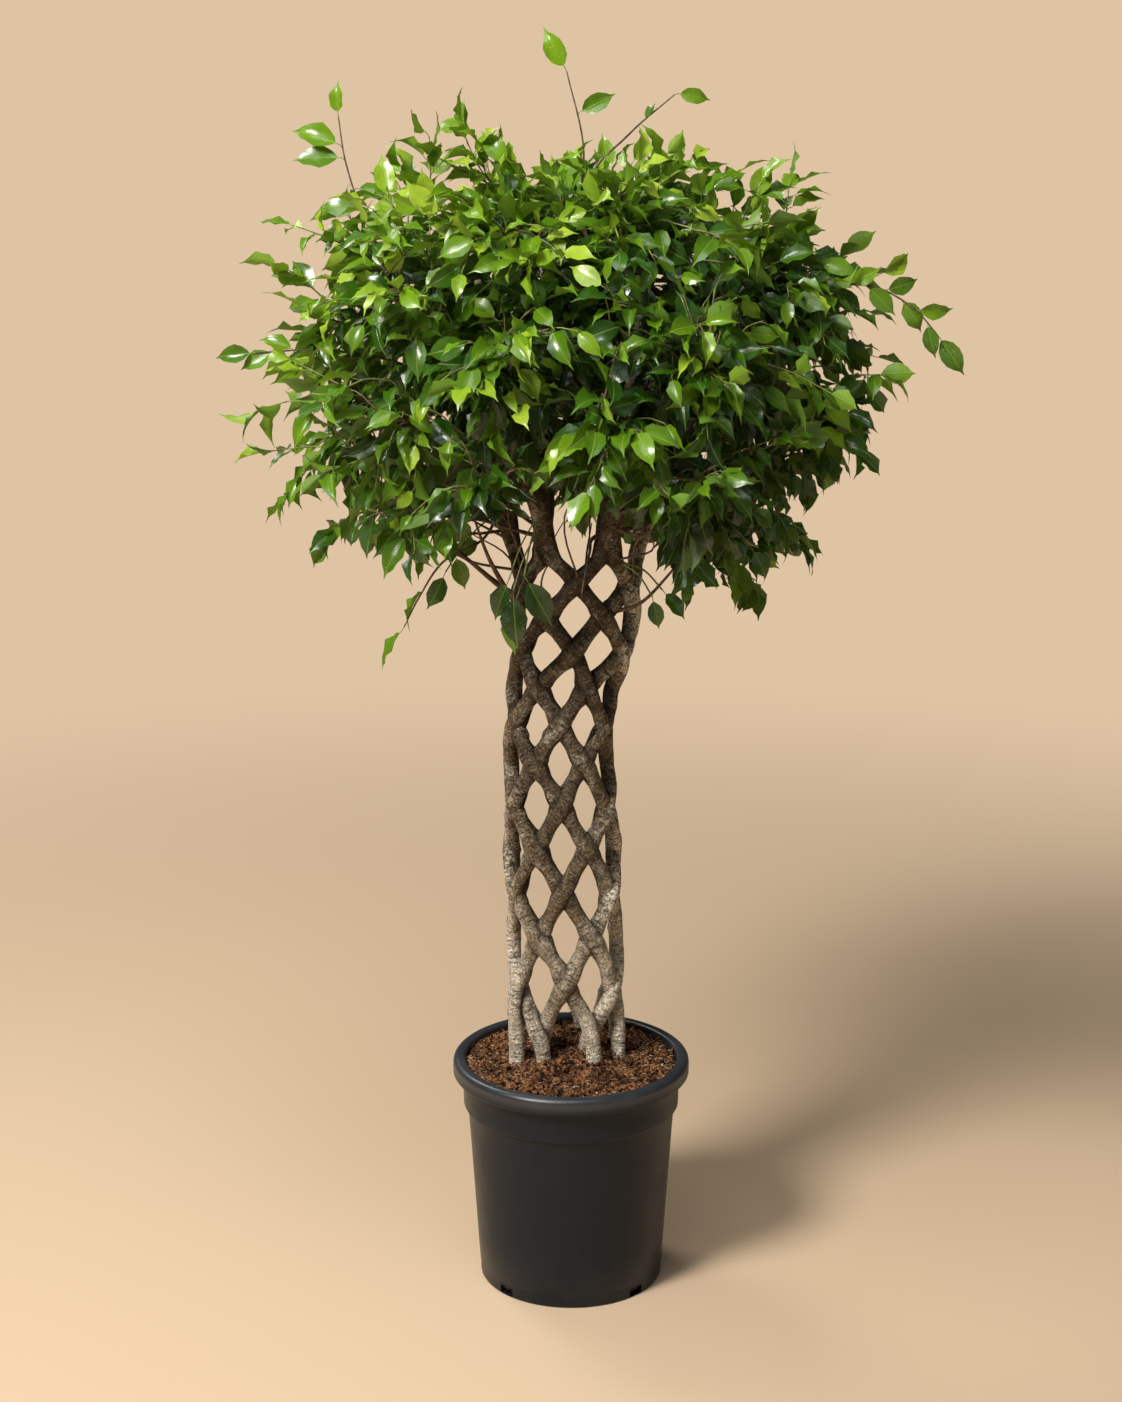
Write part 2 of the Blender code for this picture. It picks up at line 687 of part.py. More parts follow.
def plan_leafy_branches(rng, limbs, stem_solids, obstacles, taken):
    """Routes of the branches along every limb, each turned until it runs clear."""
    placed = []
    for index, limb in enumerate(limbs):
        tip = limb[0][-1]
        azimuth = math.atan2(tip.x - CROWN_CENTRE.x, -(tip.y - CROWN_CENTRE.y))
        for share, elevation in BRANCH_PLAN[index % 2]:
            if share >= 1.0 and index in taken:
                continue
            name = "leafy_branch_%02d" % (len(placed) + 1)
            for attempt in range(BRANCH_TRIES):
                swing = math.radians(rng.uniform(-6.0, 6.0) * (1.0 + attempt * 0.15))
                lift = math.radians(elevation + rng.uniform(-5.0, 5.0) * (1.0 + attempt * 0.1))
                goal = crown_point(azimuth + swing, lift, rng.uniform(0.80, 0.90))
                seat = min(1.0, share + 0.004 * attempt)
                outward = goal - point_along(limb[0], seat)[0]
                start, leave = seat_on_limb(stem_solids[index], limb, seat, outward)
                path = plan_branch(rng, start, leave, goal, outward.length)
                if is_clear(solid_of(twig_shape(path, extra=0.5 * CLEARANCE)), obstacles):
                    obstacles.append((name, solid_of(twig_shape(path, extra=CLEARANCE))))
                    placed.append((name, path, LEAVES_PER_BRANCH, SIDE_TWIGS))
                    break
    return placed


def build_crown(limbs, stem_solids, twig_material, leaf_material):
    rng = random.Random(SEED)
    obstacles = [("stem", solid) for solid in stem_solids]
    taken = set()
    placed = plan_long_shoots(limbs, stem_solids, obstacles, taken)
    placed += plan_leafy_branches(rng, limbs, stem_solids, obstacles, taken)
    forks = {}
    for name, path, leaves, forked in placed:
        forks[name] = fork_branch(rng, name, path, obstacles) if forked else []
    for name, path, leaves, forked in placed:
        twigs = [path] + forks[name]
        grown = grow_leaves(rng, name, path, leaves, 0.30 if forked else 0.42, obstacles)
        for fork in forks[name]:
            grown += grow_leaves(rng, name + "_fork", fork, SIDE_LEAVES, 0.35, obstacles)
        build_branch(name, twigs, grown, twig_material, leaf_material)


def main():
    clear_scene()
    plastic = make_material("charcoal_plastic", (0.035, 0.037, 0.042), 0.55)
    soil = make_material("potting_soil", (0.11, 0.045, 0.022), 0.95)
    bark = make_material("bark", (0.21, 0.165, 0.12), 0.85)
    young_bark = make_material("young_bark", (0.16, 0.085, 0.045), 0.7)
    leaf = make_material("leaf", (0.045, 0.16, 0.018), 0.35)

    stems, cutters, limbs = build_stems(bark)
    build_pot(plastic)
    build_soil(soil, cutters)
    stem_solids = []
    for stem in stems:
        verts = [vert.co.copy() for vert in stem.data.vertices]
        stem_solids.append(Solid(verts, [list(face.vertices) for face in stem.data.polygons]))
    build_crown(limbs, stem_solids, young_bark, leaf)


main()
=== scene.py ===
"""Potted weeping fig: moulded pot, coir soil, twelve woven bark stems and a leafy dome.

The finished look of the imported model. Units are metres, +Z is up and the origin is the
middle of the pot's underside. Run it as a script in Blender 4.5.
"""

import math
import random

import bmesh
import bpy
from bpy.props import FloatProperty, FloatVectorProperty, IntProperty, PointerProperty
from mathutils import Matrix, Quaternion, Vector, kdtree, noise


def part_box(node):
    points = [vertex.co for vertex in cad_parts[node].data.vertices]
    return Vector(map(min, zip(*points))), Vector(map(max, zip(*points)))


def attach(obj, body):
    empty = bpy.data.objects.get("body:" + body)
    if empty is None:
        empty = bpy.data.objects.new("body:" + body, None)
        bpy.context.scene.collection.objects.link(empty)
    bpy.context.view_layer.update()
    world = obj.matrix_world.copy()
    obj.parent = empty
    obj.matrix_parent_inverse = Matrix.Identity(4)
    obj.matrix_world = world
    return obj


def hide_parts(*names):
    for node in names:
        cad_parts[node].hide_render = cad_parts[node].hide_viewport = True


bl_info = {
    "name": "Potted weeping fig",
    "version": (1, 0, 0),
    "blender": (4, 5, 0),
    "location": "3D View > Sidebar > Fig",
    "description": "Finishes a weeping fig with a woven trunk around its packed model",
    "category": "Object",
}

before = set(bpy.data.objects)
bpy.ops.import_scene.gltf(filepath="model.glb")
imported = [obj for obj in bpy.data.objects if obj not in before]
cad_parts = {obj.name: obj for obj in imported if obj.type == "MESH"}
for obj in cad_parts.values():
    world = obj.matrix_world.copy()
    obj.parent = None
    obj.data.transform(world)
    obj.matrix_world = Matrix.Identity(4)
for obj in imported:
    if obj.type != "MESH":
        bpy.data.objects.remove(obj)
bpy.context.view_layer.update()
UP = Vector((0.0, 0.0, 1.0))

# ---- the woven trunk ---------------------------------------------------------------------
STEM_PAIRS = 6
CROSSING_STEP = math.radians(180.0 / STEM_PAIRS)
FIRST_CROSSING_Z = 0.277
CROSSING_RISE = 0.0665
CROSSING_SQUEEZE = 0.0011
WEAVE_TOP = 38.0 / 3.0
STRAIGHT_FOOT = 1.6
TRUNK_Y = 0.025
SOIL_TOP_Z = 0.296
# height, x of the trunk's axis, radius of the ring of stems
TRUNK_STATIONS = (
    (0.240, -0.006, 0.0600),
    (0.450, -0.007, 0.0620),
    (0.570, -0.011, 0.0615),
    (0.710, -0.016, 0.0570),
    (0.770, -0.012, 0.0560),
    (0.840, 0.002, 0.0655),
    (0.920, 0.006, 0.0690),
    (1.050, 0.006, 0.0720),
)
# limbs of the stems that wind to the right, then of those that wind to the left
LIMB_RISE = (0.235, 0.330)
LIMB_SPREAD = (0.110, 0.045)

# ---- the crown's outline -----------------------------------------------------------------
CROWN_CENTRE = Vector((0.018, 0.020, 1.150))
CROWN_SQUARENESS = 2.5
CROWN_DEPTH = 0.306
CROWN_TOP = 0.243
CROWN_UNDER = 0.285
# reach to a side, and how far it draws in below the middle
CROWN_RIGHT = (0.316, 0.045)
CROWN_LEFT = (0.338, 0.020)
# lowest twigs at the left, at the right and over the trunk, and the rise of the gap in front
LEFT_FLOOR = 0.975
RIGHT_FLOOR = 0.895
MIDDLE_FLOOR = 1.060
GAP_RISE = 0.115
# left, right and top of the part of the weave that no leaf may hide
OPEN_TRUNK = (-0.035, 0.085, 1.03)

# ---- the eye that looks at it ------------------------------------------------------------
CAMERA_PLACE = (-0.01283, -3.1, 1.5726)
CAMERA_LENS = 66.97
LOOK_DOWN = 14.68
EYE_HEIGHT = 1.57
EYE_DISTANCE = 3.10


# ==== settings a user would change ========================================================
def colour_property(name, description, default):
    return FloatVectorProperty(name=name, description=description, default=default,
                               subtype="COLOR", size=3, min=0.0, max=1.0)


def length_property(name, description, default):
    return FloatProperty(name=name, description=description, default=default, unit="LENGTH")


class PotSettings(bpy.types.PropertyGroup):
    """Size and finish of the pot"""
    height: length_property("Height", "Height of the pot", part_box("pot")[1].z)
    rim_radius: length_property("Rim radius", "Outside radius of the rim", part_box("pot")[1].x)
    plastic: colour_property("Plastic", "Colour of the moulded plastic", (0.0080, 0.0122, 0.0185))
    # The dust colour is also used for the painted highlight on the rim roll.
    dust: colour_property("Dust", "Colour of dust and lime on the plastic", (0.090, 0.094, 0.098))


class SoilSettings(bpy.types.PropertyGroup):
    """Amount and colour of the potting soil"""
    crumbs: IntProperty(name="Crumbs", description="Loose crumbs on the soil", default=5200)
    fibres: IntProperty(name="Fibres", description="Loose coir fibres", default=1500)
    dark: colour_property("Moist soil", "Colour of the moist soil", (0.014, 0.0048, 0.0019))
    light: colour_property("Dry soil", "Colour of the dry crumbs", (0.460, 0.200, 0.078))
    fibre: colour_property("Fibre", "Colour of the pale fibres", (0.62, 0.43, 0.25))


class TrunkSettings(bpy.types.PropertyGroup):
    """Size and bark of the woven stems"""
    foot_radius: length_property("Foot radius", "Stem radius at the soil", 0.0090)
    top_radius: length_property("Top radius", "Stem radius above the weave", 0.0086)
    weave: length_property("Weave depth", "Swing in or out at a crossing", 0.0030)
    pale: colour_property("Pale bark", "Bark near the soil", (0.90, 0.79, 0.62))
    grey: colour_property("Grey bark", "Bark at mid height", (0.225, 0.160, 0.090))
    brown: colour_property("Brown bark", "Bark near the crown", (0.115, 0.078, 0.045))


class CrownSettings(bpy.types.PropertyGroup):
    """Size, number and colour of the leaves"""
    twigs: IntProperty(name="Twigs", description="Leafy twigs in the crown", default=930)
    leaf_length: length_property("Leaf length", "Length of a full-grown leaf", 0.0505)
    # The leaves' tint runs through these colours; besides age it holds painted shade inside and
    # below the crown and painted light at its upper left.
    mature_and_shaded: colour_property("Mature leaf", "Old leaves inside the crown", (0.004, 0.026, 0.002))
    full: colour_property("Green leaf", "Full-grown leaves", (0.033, 0.128, 0.003))
    fresh: colour_property("Fresh leaf", "Leaves near the tips", (0.188, 0.368, 0.007))
    young: colour_property("Young leaf", "Newly opened leaves", (0.44, 0.62, 0.040))


class StageSettings(bpy.types.PropertyGroup):
    """Floor, backdrop and lamps"""
    backdrop: colour_property("Backdrop", "Colour of floor and wall", (0.737, 0.552, 0.371))
    key: FloatProperty(name="Key lamp", description="Power of the main lamp", default=196.0)
    fill: FloatProperty(name="Fill lamp", description="Power of the fill lamp", default=6.5)
    top: FloatProperty(name="Top lamp", description="Power of the overhead lamp", default=30.0)
    back: FloatProperty(name="Back lamp", description="Power of the lamp behind", default=34.0)
    sky: FloatProperty(name="Sky", description="Strength of the light all round", default=0.055)


# ==== small geometry tools ================================================================
def blend(start, end, share):
    return start + (end - start) * share


def ease(share):
    share = min(1.0, max(0.0, share))
    return share * share * (3.0 - 2.0 * share)


def arc(centre, radius, start, end, steps):
    """Points of an arc in the (radius, height) plane; angles in degrees."""
    points = []
    for step in range(steps + 1):
        turn = math.radians(blend(start, end, step / steps))
        points.append((centre[0] + radius * math.cos(turn), centre[1] + radius * math.sin(turn)))
    return points


def spin_profile(profile, segments):
    """Closed turned solid from (radius, height) points whose ends lie on the axis."""
    bm = bmesh.new()
    verts = [bm.verts.new((radius, 0.0, height)) for radius, height in profile]
    edges = [bm.edges.new(pair) for pair in zip(verts, verts[1:])]
    bmesh.ops.spin(bm, geom=verts + edges, axis=UP, cent=(0.0, 0.0, 0.0),
                   angle=2.0 * math.pi, steps=segments, use_merge=True)
    bmesh.ops.remove_doubles(bm, verts=bm.verts, dist=1e-6)
    bmesh.ops.recalc_face_normals(bm, faces=bm.faces)
    return bm


def smooth_path(points, steps):
    """Points along a smooth curve through the given ones, without overshoot."""
    spans = [after - before for before, after in zip(points, points[1:])]
    headings = [spans[0].normalized()]
    for before, after in zip(spans, spans[1:]):
        headings.append((before.normalized() + after.normalized()).normalized())
    headings.append(spans[-1].normalized())
    path = []
    for index, span in enumerate(spans):
        leave = headings[index] * span.length
        arrive = headings[index + 1] * span.length
        for step in range(steps):
            t = step / steps
            path.append(points[index] * (2.0 * t ** 3 - 3.0 * t * t + 1.0)
                        + leave * (t ** 3 - 2.0 * t * t + t)
                        + points[index + 1] * (3.0 * t * t - 2.0 * t ** 3)
                        + arrive * (t ** 3 - t * t))
    path.append(points[-1])
    return path


def span_lengths(path):
    return [(after - before).length for before, after in zip(path, path[1:])]


def point_along(path, share):
    """Point and direction at a share of a path's length."""
    lengths = span_lengths(path)
    left = share * sum(lengths)
    index = 0
    while index < len(lengths) - 1 and left > lengths[index]:
        left -= lengths[index]
        index += 1
    direction = (path[index + 1] - path[index]).normalized()
    return path[index] + direction * min(left, lengths[index]), direction


def taper(path, start, end, power=1.0):
    """Radii that run from start to end along a path."""
    return [blend(start, end, (index / (len(path) - 1)) ** power) for index in range(len(path))]


def point_tree(points):
    """Search tree of points, numbered in their order."""
    tree = kdtree.KDTree(len(points))
    for index, point in enumerate(points):
        tree.insert(point, index)
    tree.balance()
    return tree


def scatter(rng, size):
    return Vector((rng.gauss(0.0, size), rng.gauss(0.0, size), rng.gauss(0.0, size)))


def mesh_from(bm, name):
    mesh = bpy.data.meshes.new(name)
    bm.to_mesh(mesh)
    bm.free()
    return mesh


def add_object(name, data):
    """A new object in the scene."""
    thing = bpy.data.objects.new(name, data)
    bpy.context.scene.collection.objects.link(thing)
    return thing


def place_piece(name, mesh, materials, nodes=(), sharp=None):
    """Adds a finished piece that rides on the root and stands for its CAD nodes."""
    for material in materials:
        mesh.materials.append(material)
    mesh.shade_smooth()
    if sharp is not None:
        mesh.set_sharp_from_angle(angle=math.radians(sharp))
    piece = add_object(name, mesh)
    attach(piece, "root")
    if nodes:
        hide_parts(*nodes)


def tube_mesh(name, runs, resolution):
    """One mesh of round tubes; each run is (points, radii)."""
    curve = bpy.data.curves.new(name, "CURVE")
    curve.dimensions = "3D"
    curve.bevel_depth = 1.0
    curve.bevel_resolution = resolution
    curve.use_fill_caps = True
    for points, radii in runs:
        spline = curve.splines.new("POLY")
        spline.points.add(len(points) - 1)
        for target, point, radius in zip(spline.points, points, radii):
            target.co = (*point, 1.0)
            target.radius = radius
    holder = bpy.data.objects.new(name, curve)
    mesh = bpy.data.meshes.new_from_object(holder)
    bpy.data.objects.remove(holder)
    bpy.data.curves.remove(curve)
    return mesh


# ==== material tools ======================================================================
def rgba(colour):
    return (*colour, 1.0)


class Shader:
    """Adds nodes to a tree; its methods return the sockets that other nodes are fed with."""

    def __init__(self, tree):
        self.tree = tree

    def feed(self, node, sockets):
        """Fills sockets by name or index, each with a value or a link from another socket."""
        for key, value in sockets.items():
            if isinstance(value, bpy.types.NodeSocket):
                self.tree.links.new(value, node.inputs[key])
            else:
                node.inputs[key].default_value = value

    def node(self, kind, sockets=None, **settings):
        """A new node with its settings, whose sockets are then fed."""
        node = self.tree.nodes.new(kind)
        for key, value in settings.items():
            setattr(node, key, value)
        self.feed(node, sockets or {})
        return node

    def math(self, operation, *values, clamp=False):
        return self.node("ShaderNodeMath", dict(enumerate(values)), operation=operation,
                         use_clamp=clamp).outputs[0]

    def times(self, first, second):
        return self.math("MULTIPLY", first, second)

    def less(self, first, second):
        return self.math("SUBTRACT", first, second)

    def axis(self, vector, letter):
        return self.node("ShaderNodeSeparateXYZ", {0: vector}).outputs[letter]

    def attribute(self, name, kind="Fac"):
        return self.node("ShaderNodeAttribute", attribute_name=name).outputs[kind]

    def ramp(self, value, low, high, start=0.0, end=1.0, smooth=False):
        """The value, carried from the range low to high over to start to end."""
        sockets = {"Value": value, "From Min": low, "From Max": high, "To Min": start,
                   "To Max": end}
        return self.node("ShaderNodeMapRange", sockets, interpolation_type="SMOOTHSTEP" if smooth
                         else "LINEAR").outputs["Result"]

    def mix(self, factor, first, second):
        return self.node("ShaderNodeMix", {0: factor, 6: first, 7: second},
                         data_type="RGBA").outputs[2]


class Look(Shader):
    """A material with one principled surface, patterned in the object's own space."""

    def __init__(self, name):
        self.material = bpy.data.materials.new(name)
        self.material.use_nodes = True
        super().__init__(self.material.node_tree)
        self.surface = self.tree.nodes["Principled BSDF"]
        self.place = self.node("ShaderNodeTexCoord").outputs["Object"]

    def mottle(self, scale, low, high, stretch=(1.0, 1.0, 1.0), place=None):
        """Soft patches, as a Mask between low and high and as the bare Value."""
        sockets = {"Place": self.place if place is None else place, "Scale": scale, "Low": low,
                   "High": high, "Stretch": stretch}
        return self.node("ShaderNodeGroup", sockets, node_tree=mottle_group()).outputs

    def relief(self, scale, pits=0.3, place=None):
        sockets = {"Place": self.place if place is None else place, "Scale": scale, "Pits": pits}
        return self.node("ShaderNodeGroup", sockets, node_tree=relief_group()).outputs["Height"]

    def paint(self, colour, rough, height, depth, strength, specular=0.5):
        """Feeds the surface, with a bump of the height, and returns the bump's normal."""
        normal = self.node("ShaderNodeBump", {"Height": height, "Distance": depth,
                                              "Strength": strength}).outputs["Normal"]
        self.feed(self.surface, {"Base Color": colour, "Roughness": rough,
                                 "Specular IOR Level": specular, "Normal": normal})
        return normal

    def cover(self, factor, other):
        """Lets another shader node show through the surface."""
        both = self.node("ShaderNodeMixShader", {0: factor, 1: self.surface.outputs[0],
                                                 2: other.outputs[0]})
        self.feed(self.tree.nodes["Material Output"], {"Surface": both.outputs[0]})


def shared_group(name, inputs, outputs):
    """Shader of a new node group with vector (default None) and float inputs, and its ends."""
    tree = bpy.data.node_groups.new(name, "ShaderNodeTree")
    for label, default in inputs.items():
        kind = "NodeSocketFloat" if isinstance(default, float) else "NodeSocketVector"
        socket = tree.interface.new_socket(label, in_out="INPUT", socket_type=kind)
        if default is not None:
            socket.default_value = default
    for label in outputs:
        tree.interface.new_socket(label, in_out="OUTPUT", socket_type="NodeSocketFloat")
    return (Shader(tree), tree.nodes.new("NodeGroupInput").outputs,
            tree.nodes.new("NodeGroupOutput"))


def mottle_group():
    """Soft-edged patches of any size, stretched along any axis."""
    if "Mottle" in bpy.data.node_groups:
        return bpy.data.node_groups["Mottle"]
    shader, given, result = shared_group(
        "Mottle", {"Place": None, "Stretch": (1.0, 1.0, 1.0), "Scale": 40.0, "Low": 0.4,
                   "High": 0.6}, ("Mask", "Value"))
    spread = shader.node("ShaderNodeVectorMath", {0: given["Place"], 1: given["Stretch"]},
                         operation="MULTIPLY").outputs[0]
    cloud = shader.node("ShaderNodeTexNoise", {"Vector": spread, "Scale": given["Scale"],
                                               "Detail": 4.0, "Roughness": 0.62}).outputs[0]
    mask = shader.ramp(cloud, given["Low"], given["High"], smooth=True)
    shader.feed(result, {"Mask": mask, "Value": cloud})
    return shader.tree


def relief_group():
    """Fine height made of grains and pits, for a Bump node."""
    if "Relief" in bpy.data.node_groups:
        return bpy.data.node_groups["Relief"]
    shader, given, result = shared_group(
        "Relief", {"Place": None, "Scale": 300.0, "Pits": 0.3}, ("Height",))
    sockets = {"Vector": given["Place"], "Scale": given["Scale"]}
    cells = shader.node("ShaderNodeTexVoronoi", sockets).outputs["Distance"]
    grain = shader.node("ShaderNodeTexNoise", {**sockets, "Detail": 5.0, "Roughness": 0.6})
    height = shader.less(grain.outputs[0], shader.times(cells, given["Pits"]))
    shader.feed(result, {"Height": height})
    return shader.tree


# ==== materials ===========================================================================
def plastic_material(pot):
    """Satin charcoal plastic with fine moulded grain, a little dust and lime, and a painted rim
    highlight.
    """
    look = Look("charcoal_plastic")
    height = look.axis(look.place, "Z")
    cloud = look.mottle(22.0, 0.35, 0.75)
    streaks = look.mottle(60.0, 0.52, 0.80, stretch=(1.0, 1.0, 0.12))["Mask"]
    low = look.ramp(height, 0.09, 0.0, smooth=True)
    dust = look.times(cloud["Mask"], look.math("ADD", low, 0.22))
    dust = look.math("ADD", look.times(dust, 0.12), look.times(streaks, 0.035), clamp=True)
    rim = look.ramp(height, pot.height - 0.020, pot.height - 0.008, smooth=True)
    # Painted highlight: in patches the rim roll is mixed towards the pale dust colour, standing
    # in for light on its top.
    painted_rim_highlight = look.times(rim, look.ramp(cloud["Value"], 0.3, 0.7, 0.16, 0.30))
    colour = look.mix(look.math("ADD", dust, painted_rim_highlight, clamp=True), rgba(pot.plastic),
                      rgba(pot.dust))
    look.paint(colour, look.ramp(cloud["Value"], 0.3, 0.7, 0.30, 0.42), look.relief(900.0),
               0.00012, 0.55, look.ramp(rim, 0.0, 1.0, 0.24, 0.60))
    return look.material


def soil_material(soil, name, bright):
    """Moist brown crumbs; bright raises the share of dry ones."""
    look = Look(name)
    damp = look.ramp(look.mottle(34.0, 0.35, 0.65)["Value"], 0.34, 0.66, 0.10 + bright,
                     0.95 + bright)
    crumbs = look.mottle(230.0, 0.38, 0.64)["Mask"]
    specks = look.mottle(520.0, 0.68, 0.74)["Mask"]
    colour = look.mix(look.times(crumbs, damp), rgba(soil.dark), rgba(soil.light))
    colour = look.mix(look.times(specks, 0.55), colour, rgba(soil.fibre))
    look.paint(colour, 0.93, look.relief(420.0, 0.8), 0.0016, 0.9, 0.25)
    return look.material


def grain_material(name, patches, colours, rough, grain, depth, strength):
    """Two colours and two roughnesses in soft patches (scale, low, high), with fine grain."""
    look = Look(name)
    change = look.mottle(*patches)
    look.paint(look.mix(change["Mask"], rgba(colours[0]), rgba(colours[1])),
               look.ramp(change["Value"], 0.3, 0.7, *rough), look.relief(grain), depth, strength)
    return look.material


def bark_material(trunk):
    """Pale grey bark that darkens upwards, with wrinkles, lenticels and painted shade where stems
    cross.
    """
    look = Look("fig_bark")
    around = look.attribute("bark_place", "Vector")
    height = look.axis(look.place, "Z")
    # Stems at the sides, most on the right, are paler: partly their own paler bark, partly
    # painted light that lifts the right-hand stems out of the weave's shade.
    aside = look.times(look.math("ADD", look.axis(look.place, "X"), 0.016), 15.0)
    aside = look.math("POWER", look.math("ABSOLUTE", aside), 4.0)
    wander = look.times(look.less(look.mottle(9.0, 0.4, 0.6)["Value"], 0.5), 0.9)
    lift = look.math("ADD", look.ramp(height, 0.28, 0.86), wander)
    lift = look.less(lift, look.times(aside, 0.36))
    colour = look.mix(look.ramp(lift, 0.0, 0.42, smooth=True), rgba(trunk.pale),
                      rgba(trunk.grey))
    colour = look.mix(look.ramp(lift, 0.35, 0.95, smooth=True), colour, rgba(trunk.brown))
    aged = look.ramp(height, 0.33, 0.58, 0.36, 0.76, smooth=True)
    blotch = look.mottle(48.0, 0.47, 0.66, place=around)
    patch = look.mottle(40.0, 0.50, 0.66, (1.0, 1.0, 0.75), around)["Mask"]
    speckle = look.mottle(340.0, 0.47, 0.60, place=around)["Mask"]
    wrinkle = look.mottle(150.0, 0.56, 0.62, (0.50, 0.50, 3.2), around)["Mask"]
    flake = look.mottle(260.0, 0.55, 0.66, (0.6, 0.6, 1.8), around)["Mask"]
    cells = look.node("ShaderNodeTexVoronoi", {"Vector": around, "Scale": 120.0})
    lenticel = look.ramp(cells.outputs["Distance"], 0.09, 0.14, 1.0, 0.0, smooth=True)
    for mask, share, tone in (
            (blotch["Mask"], aged, (0.050, 0.036, 0.021)), (patch, 0.50, (0.66, 0.58, 0.46)),
            (speckle, aged, (0.055, 0.040, 0.025)),
            (wrinkle, look.ramp(aged, 0.36, 0.76, 0.62, 0.85), (0.030, 0.021, 0.013)),
            (flake, 0.42, (0.52, 0.43, 0.31)), (lenticel, 0.80, (0.022, 0.015, 0.010)),
            # painted shade: bark darkened where a neighbouring stem lies close
            (look.attribute("crevice_shade"), 0.90, (0.018, 0.012, 0.008))):
        colour = look.mix(look.times(mask, share), colour, rgba(tone))
    depth = look.relief(330.0, 0.5, around)
    for mask, share in ((wrinkle, 0.8), (speckle, 0.5), (lenticel, 0.6), (blotch["Mask"], 0.5)):
        depth = look.less(depth, look.times(mask, share))
    look.paint(colour, look.ramp(blotch["Value"], 0.3, 0.7, 0.72, 0.92), depth, 0.0022, 1.0, 0.3)
    return look.material


def leaf_material(crown):
    """Glossy leaf: midrib and side veins from its own map, colour from its tint, which holds age
    and painted light and shade.
    """
    look = Look("fig_leaf")
    tint = look.attribute("tint")
    ages = look.node("ShaderNodeValToRGB", {"Fac": tint})
    stops = ages.color_ramp.elements
    stops[0].color = rgba(crown.mature_and_shaded)
    stops[1].color = rgba(crown.young)
    for share, colour in ((0.38, crown.full), (0.72, crown.fresh)):
        stops.new(share).color = rgba(colour)
    age = ages.outputs["Color"]
    leaf_map = look.node("ShaderNodeUVMap", uv_map="leaf").outputs["UV"]
    across = look.math("ABSOLUTE", look.less(look.axis(leaf_map, "X"), 0.5))
    rib = look.ramp(across, 0.012, 0.035, 1.0, 0.0, smooth=True)
    sweep = look.less(look.axis(leaf_map, "Y"), look.times(across, 0.42))
    side = look.math("ABSOLUTE", look.math("SINE", look.times(sweep, 44.0)))
    side = look.ramp(side, 0.0, 0.20, 1.0, 0.0, smooth=True)
    cloud = look.mottle(70.0, 0.30, 0.72)
    pale = look.mix(0.55, age, (0.36, 0.50, 0.09, 1.0))
    colour = look.mix(look.times(cloud["Mask"], 0.30), age, (0.009, 0.046, 0.003, 1.0))
    colour = look.mix(look.times(side, 0.22), colour, pale)
    colour = look.mix(look.times(rib, 0.75), colour, pale)
    below = look.node("ShaderNodeNewGeometry").outputs["Backfacing"]
    colour = look.mix(below, colour, look.mix(0.45, age, (0.17, 0.28, 0.045, 1.0)))
    rough = look.math("ADD", look.ramp(cloud["Value"], 0.3, 0.7, 0.20, 0.33),
                      look.times(below, 0.22))
    veins = look.math("ADD", rib, look.times(side, 0.35))
    normal = look.paint(colour, rough, look.less(look.times(cloud["Value"], 0.5), veins),
                        0.0006, 0.6, look.ramp(tint, 0.0, 0.8, 1.0, 0.62))
    shine = look.mix(0.35, colour, (0.30, 0.48, 0.02, 1.0))
    look.cover(0.25, look.node("ShaderNodeBsdfTranslucent", {"Color": shine,
                                                             "Normal": normal}))
    return look.material


def floor_material(stage):
    """Plain matt floor that turns into the flat backdrop colour away from the plant."""
    look = Look("studio_floor")
    cloud = look.mottle(1.3, 0.2, 0.8)["Mask"]
    colour = look.mix(look.times(cloud, 0.10), rgba(stage.backdrop), (0.72, 0.57, 0.42, 1.0))
    look.feed(look.surface, {"Base Color": colour, "Roughness": 0.9, "Specular IOR Level": 0.2})
    span = look.node("ShaderNodeVectorMath", {0: look.place}, operation="LENGTH")
    away = look.ramp(span.outputs["Value"], 0.9, 3.2, smooth=True)
    seen = look.node("ShaderNodeLightPath").outputs["Is Camera Ray"]
    flat = look.node("ShaderNodeEmission", {"Color": rgba(stage.backdrop)})
    look.cover(look.times(away, seen), flat)
    return look.material


# ==== pot =================================================================================
POT_WALL = 0.0025
POT_FLOOR = 0.004
POT_BASE_RADIUS = 0.1165
FOOT_HEIGHT = 0.018
FOOT_STEP = 0.001
BODY_TOP_RADIUS = 0.1315
COLLAR_BOTTOM = 0.234
COLLAR_RADIUS = 0.1370
COLLAR_EASE = 0.006
RIM_DROP = 0.022
FLOOR_EASE = 0.002
BASE_RING = ((0.104, 0.0), (0.106, 0.0012), (0.110, 0.0012), (0.112, 0.0))
BASE_ROUND = 0.003
COLLAR_ROUND = 0.0028
RIM_EDGE = 0.0032
RIM_ROLL = 0.0075
LIP_ROLL = 0.0038
NOTCHES = 4
NOTCH_SIZE = (0.020, 0.0215, 0.0112)
NOTCH_CORNER = 0.0006
NOTCH_HEIGHT = 0.0068
FIRST_NOTCH = math.radians(45.0)


def pot_wall_radius(height):
    """Outside radius of the tapered wall below the collar."""
    share = (height - FOOT_HEIGHT) / (COLLAR_BOTTOM - FOOT_HEIGHT)
    return blend(POT_BASE_RADIUS + FOOT_STEP, BODY_TOP_RADIUS, share)


def pot_inside():
    """Inside radius at the floor, then height and inside radius just below the collar."""
    ledge = COLLAR_BOTTOM - COLLAR_EASE
    return (pot_wall_radius(POT_FLOOR) - POT_WALL - FOOT_STEP - FLOOR_EASE, ledge,
            pot_wall_radius(ledge) - POT_WALL)


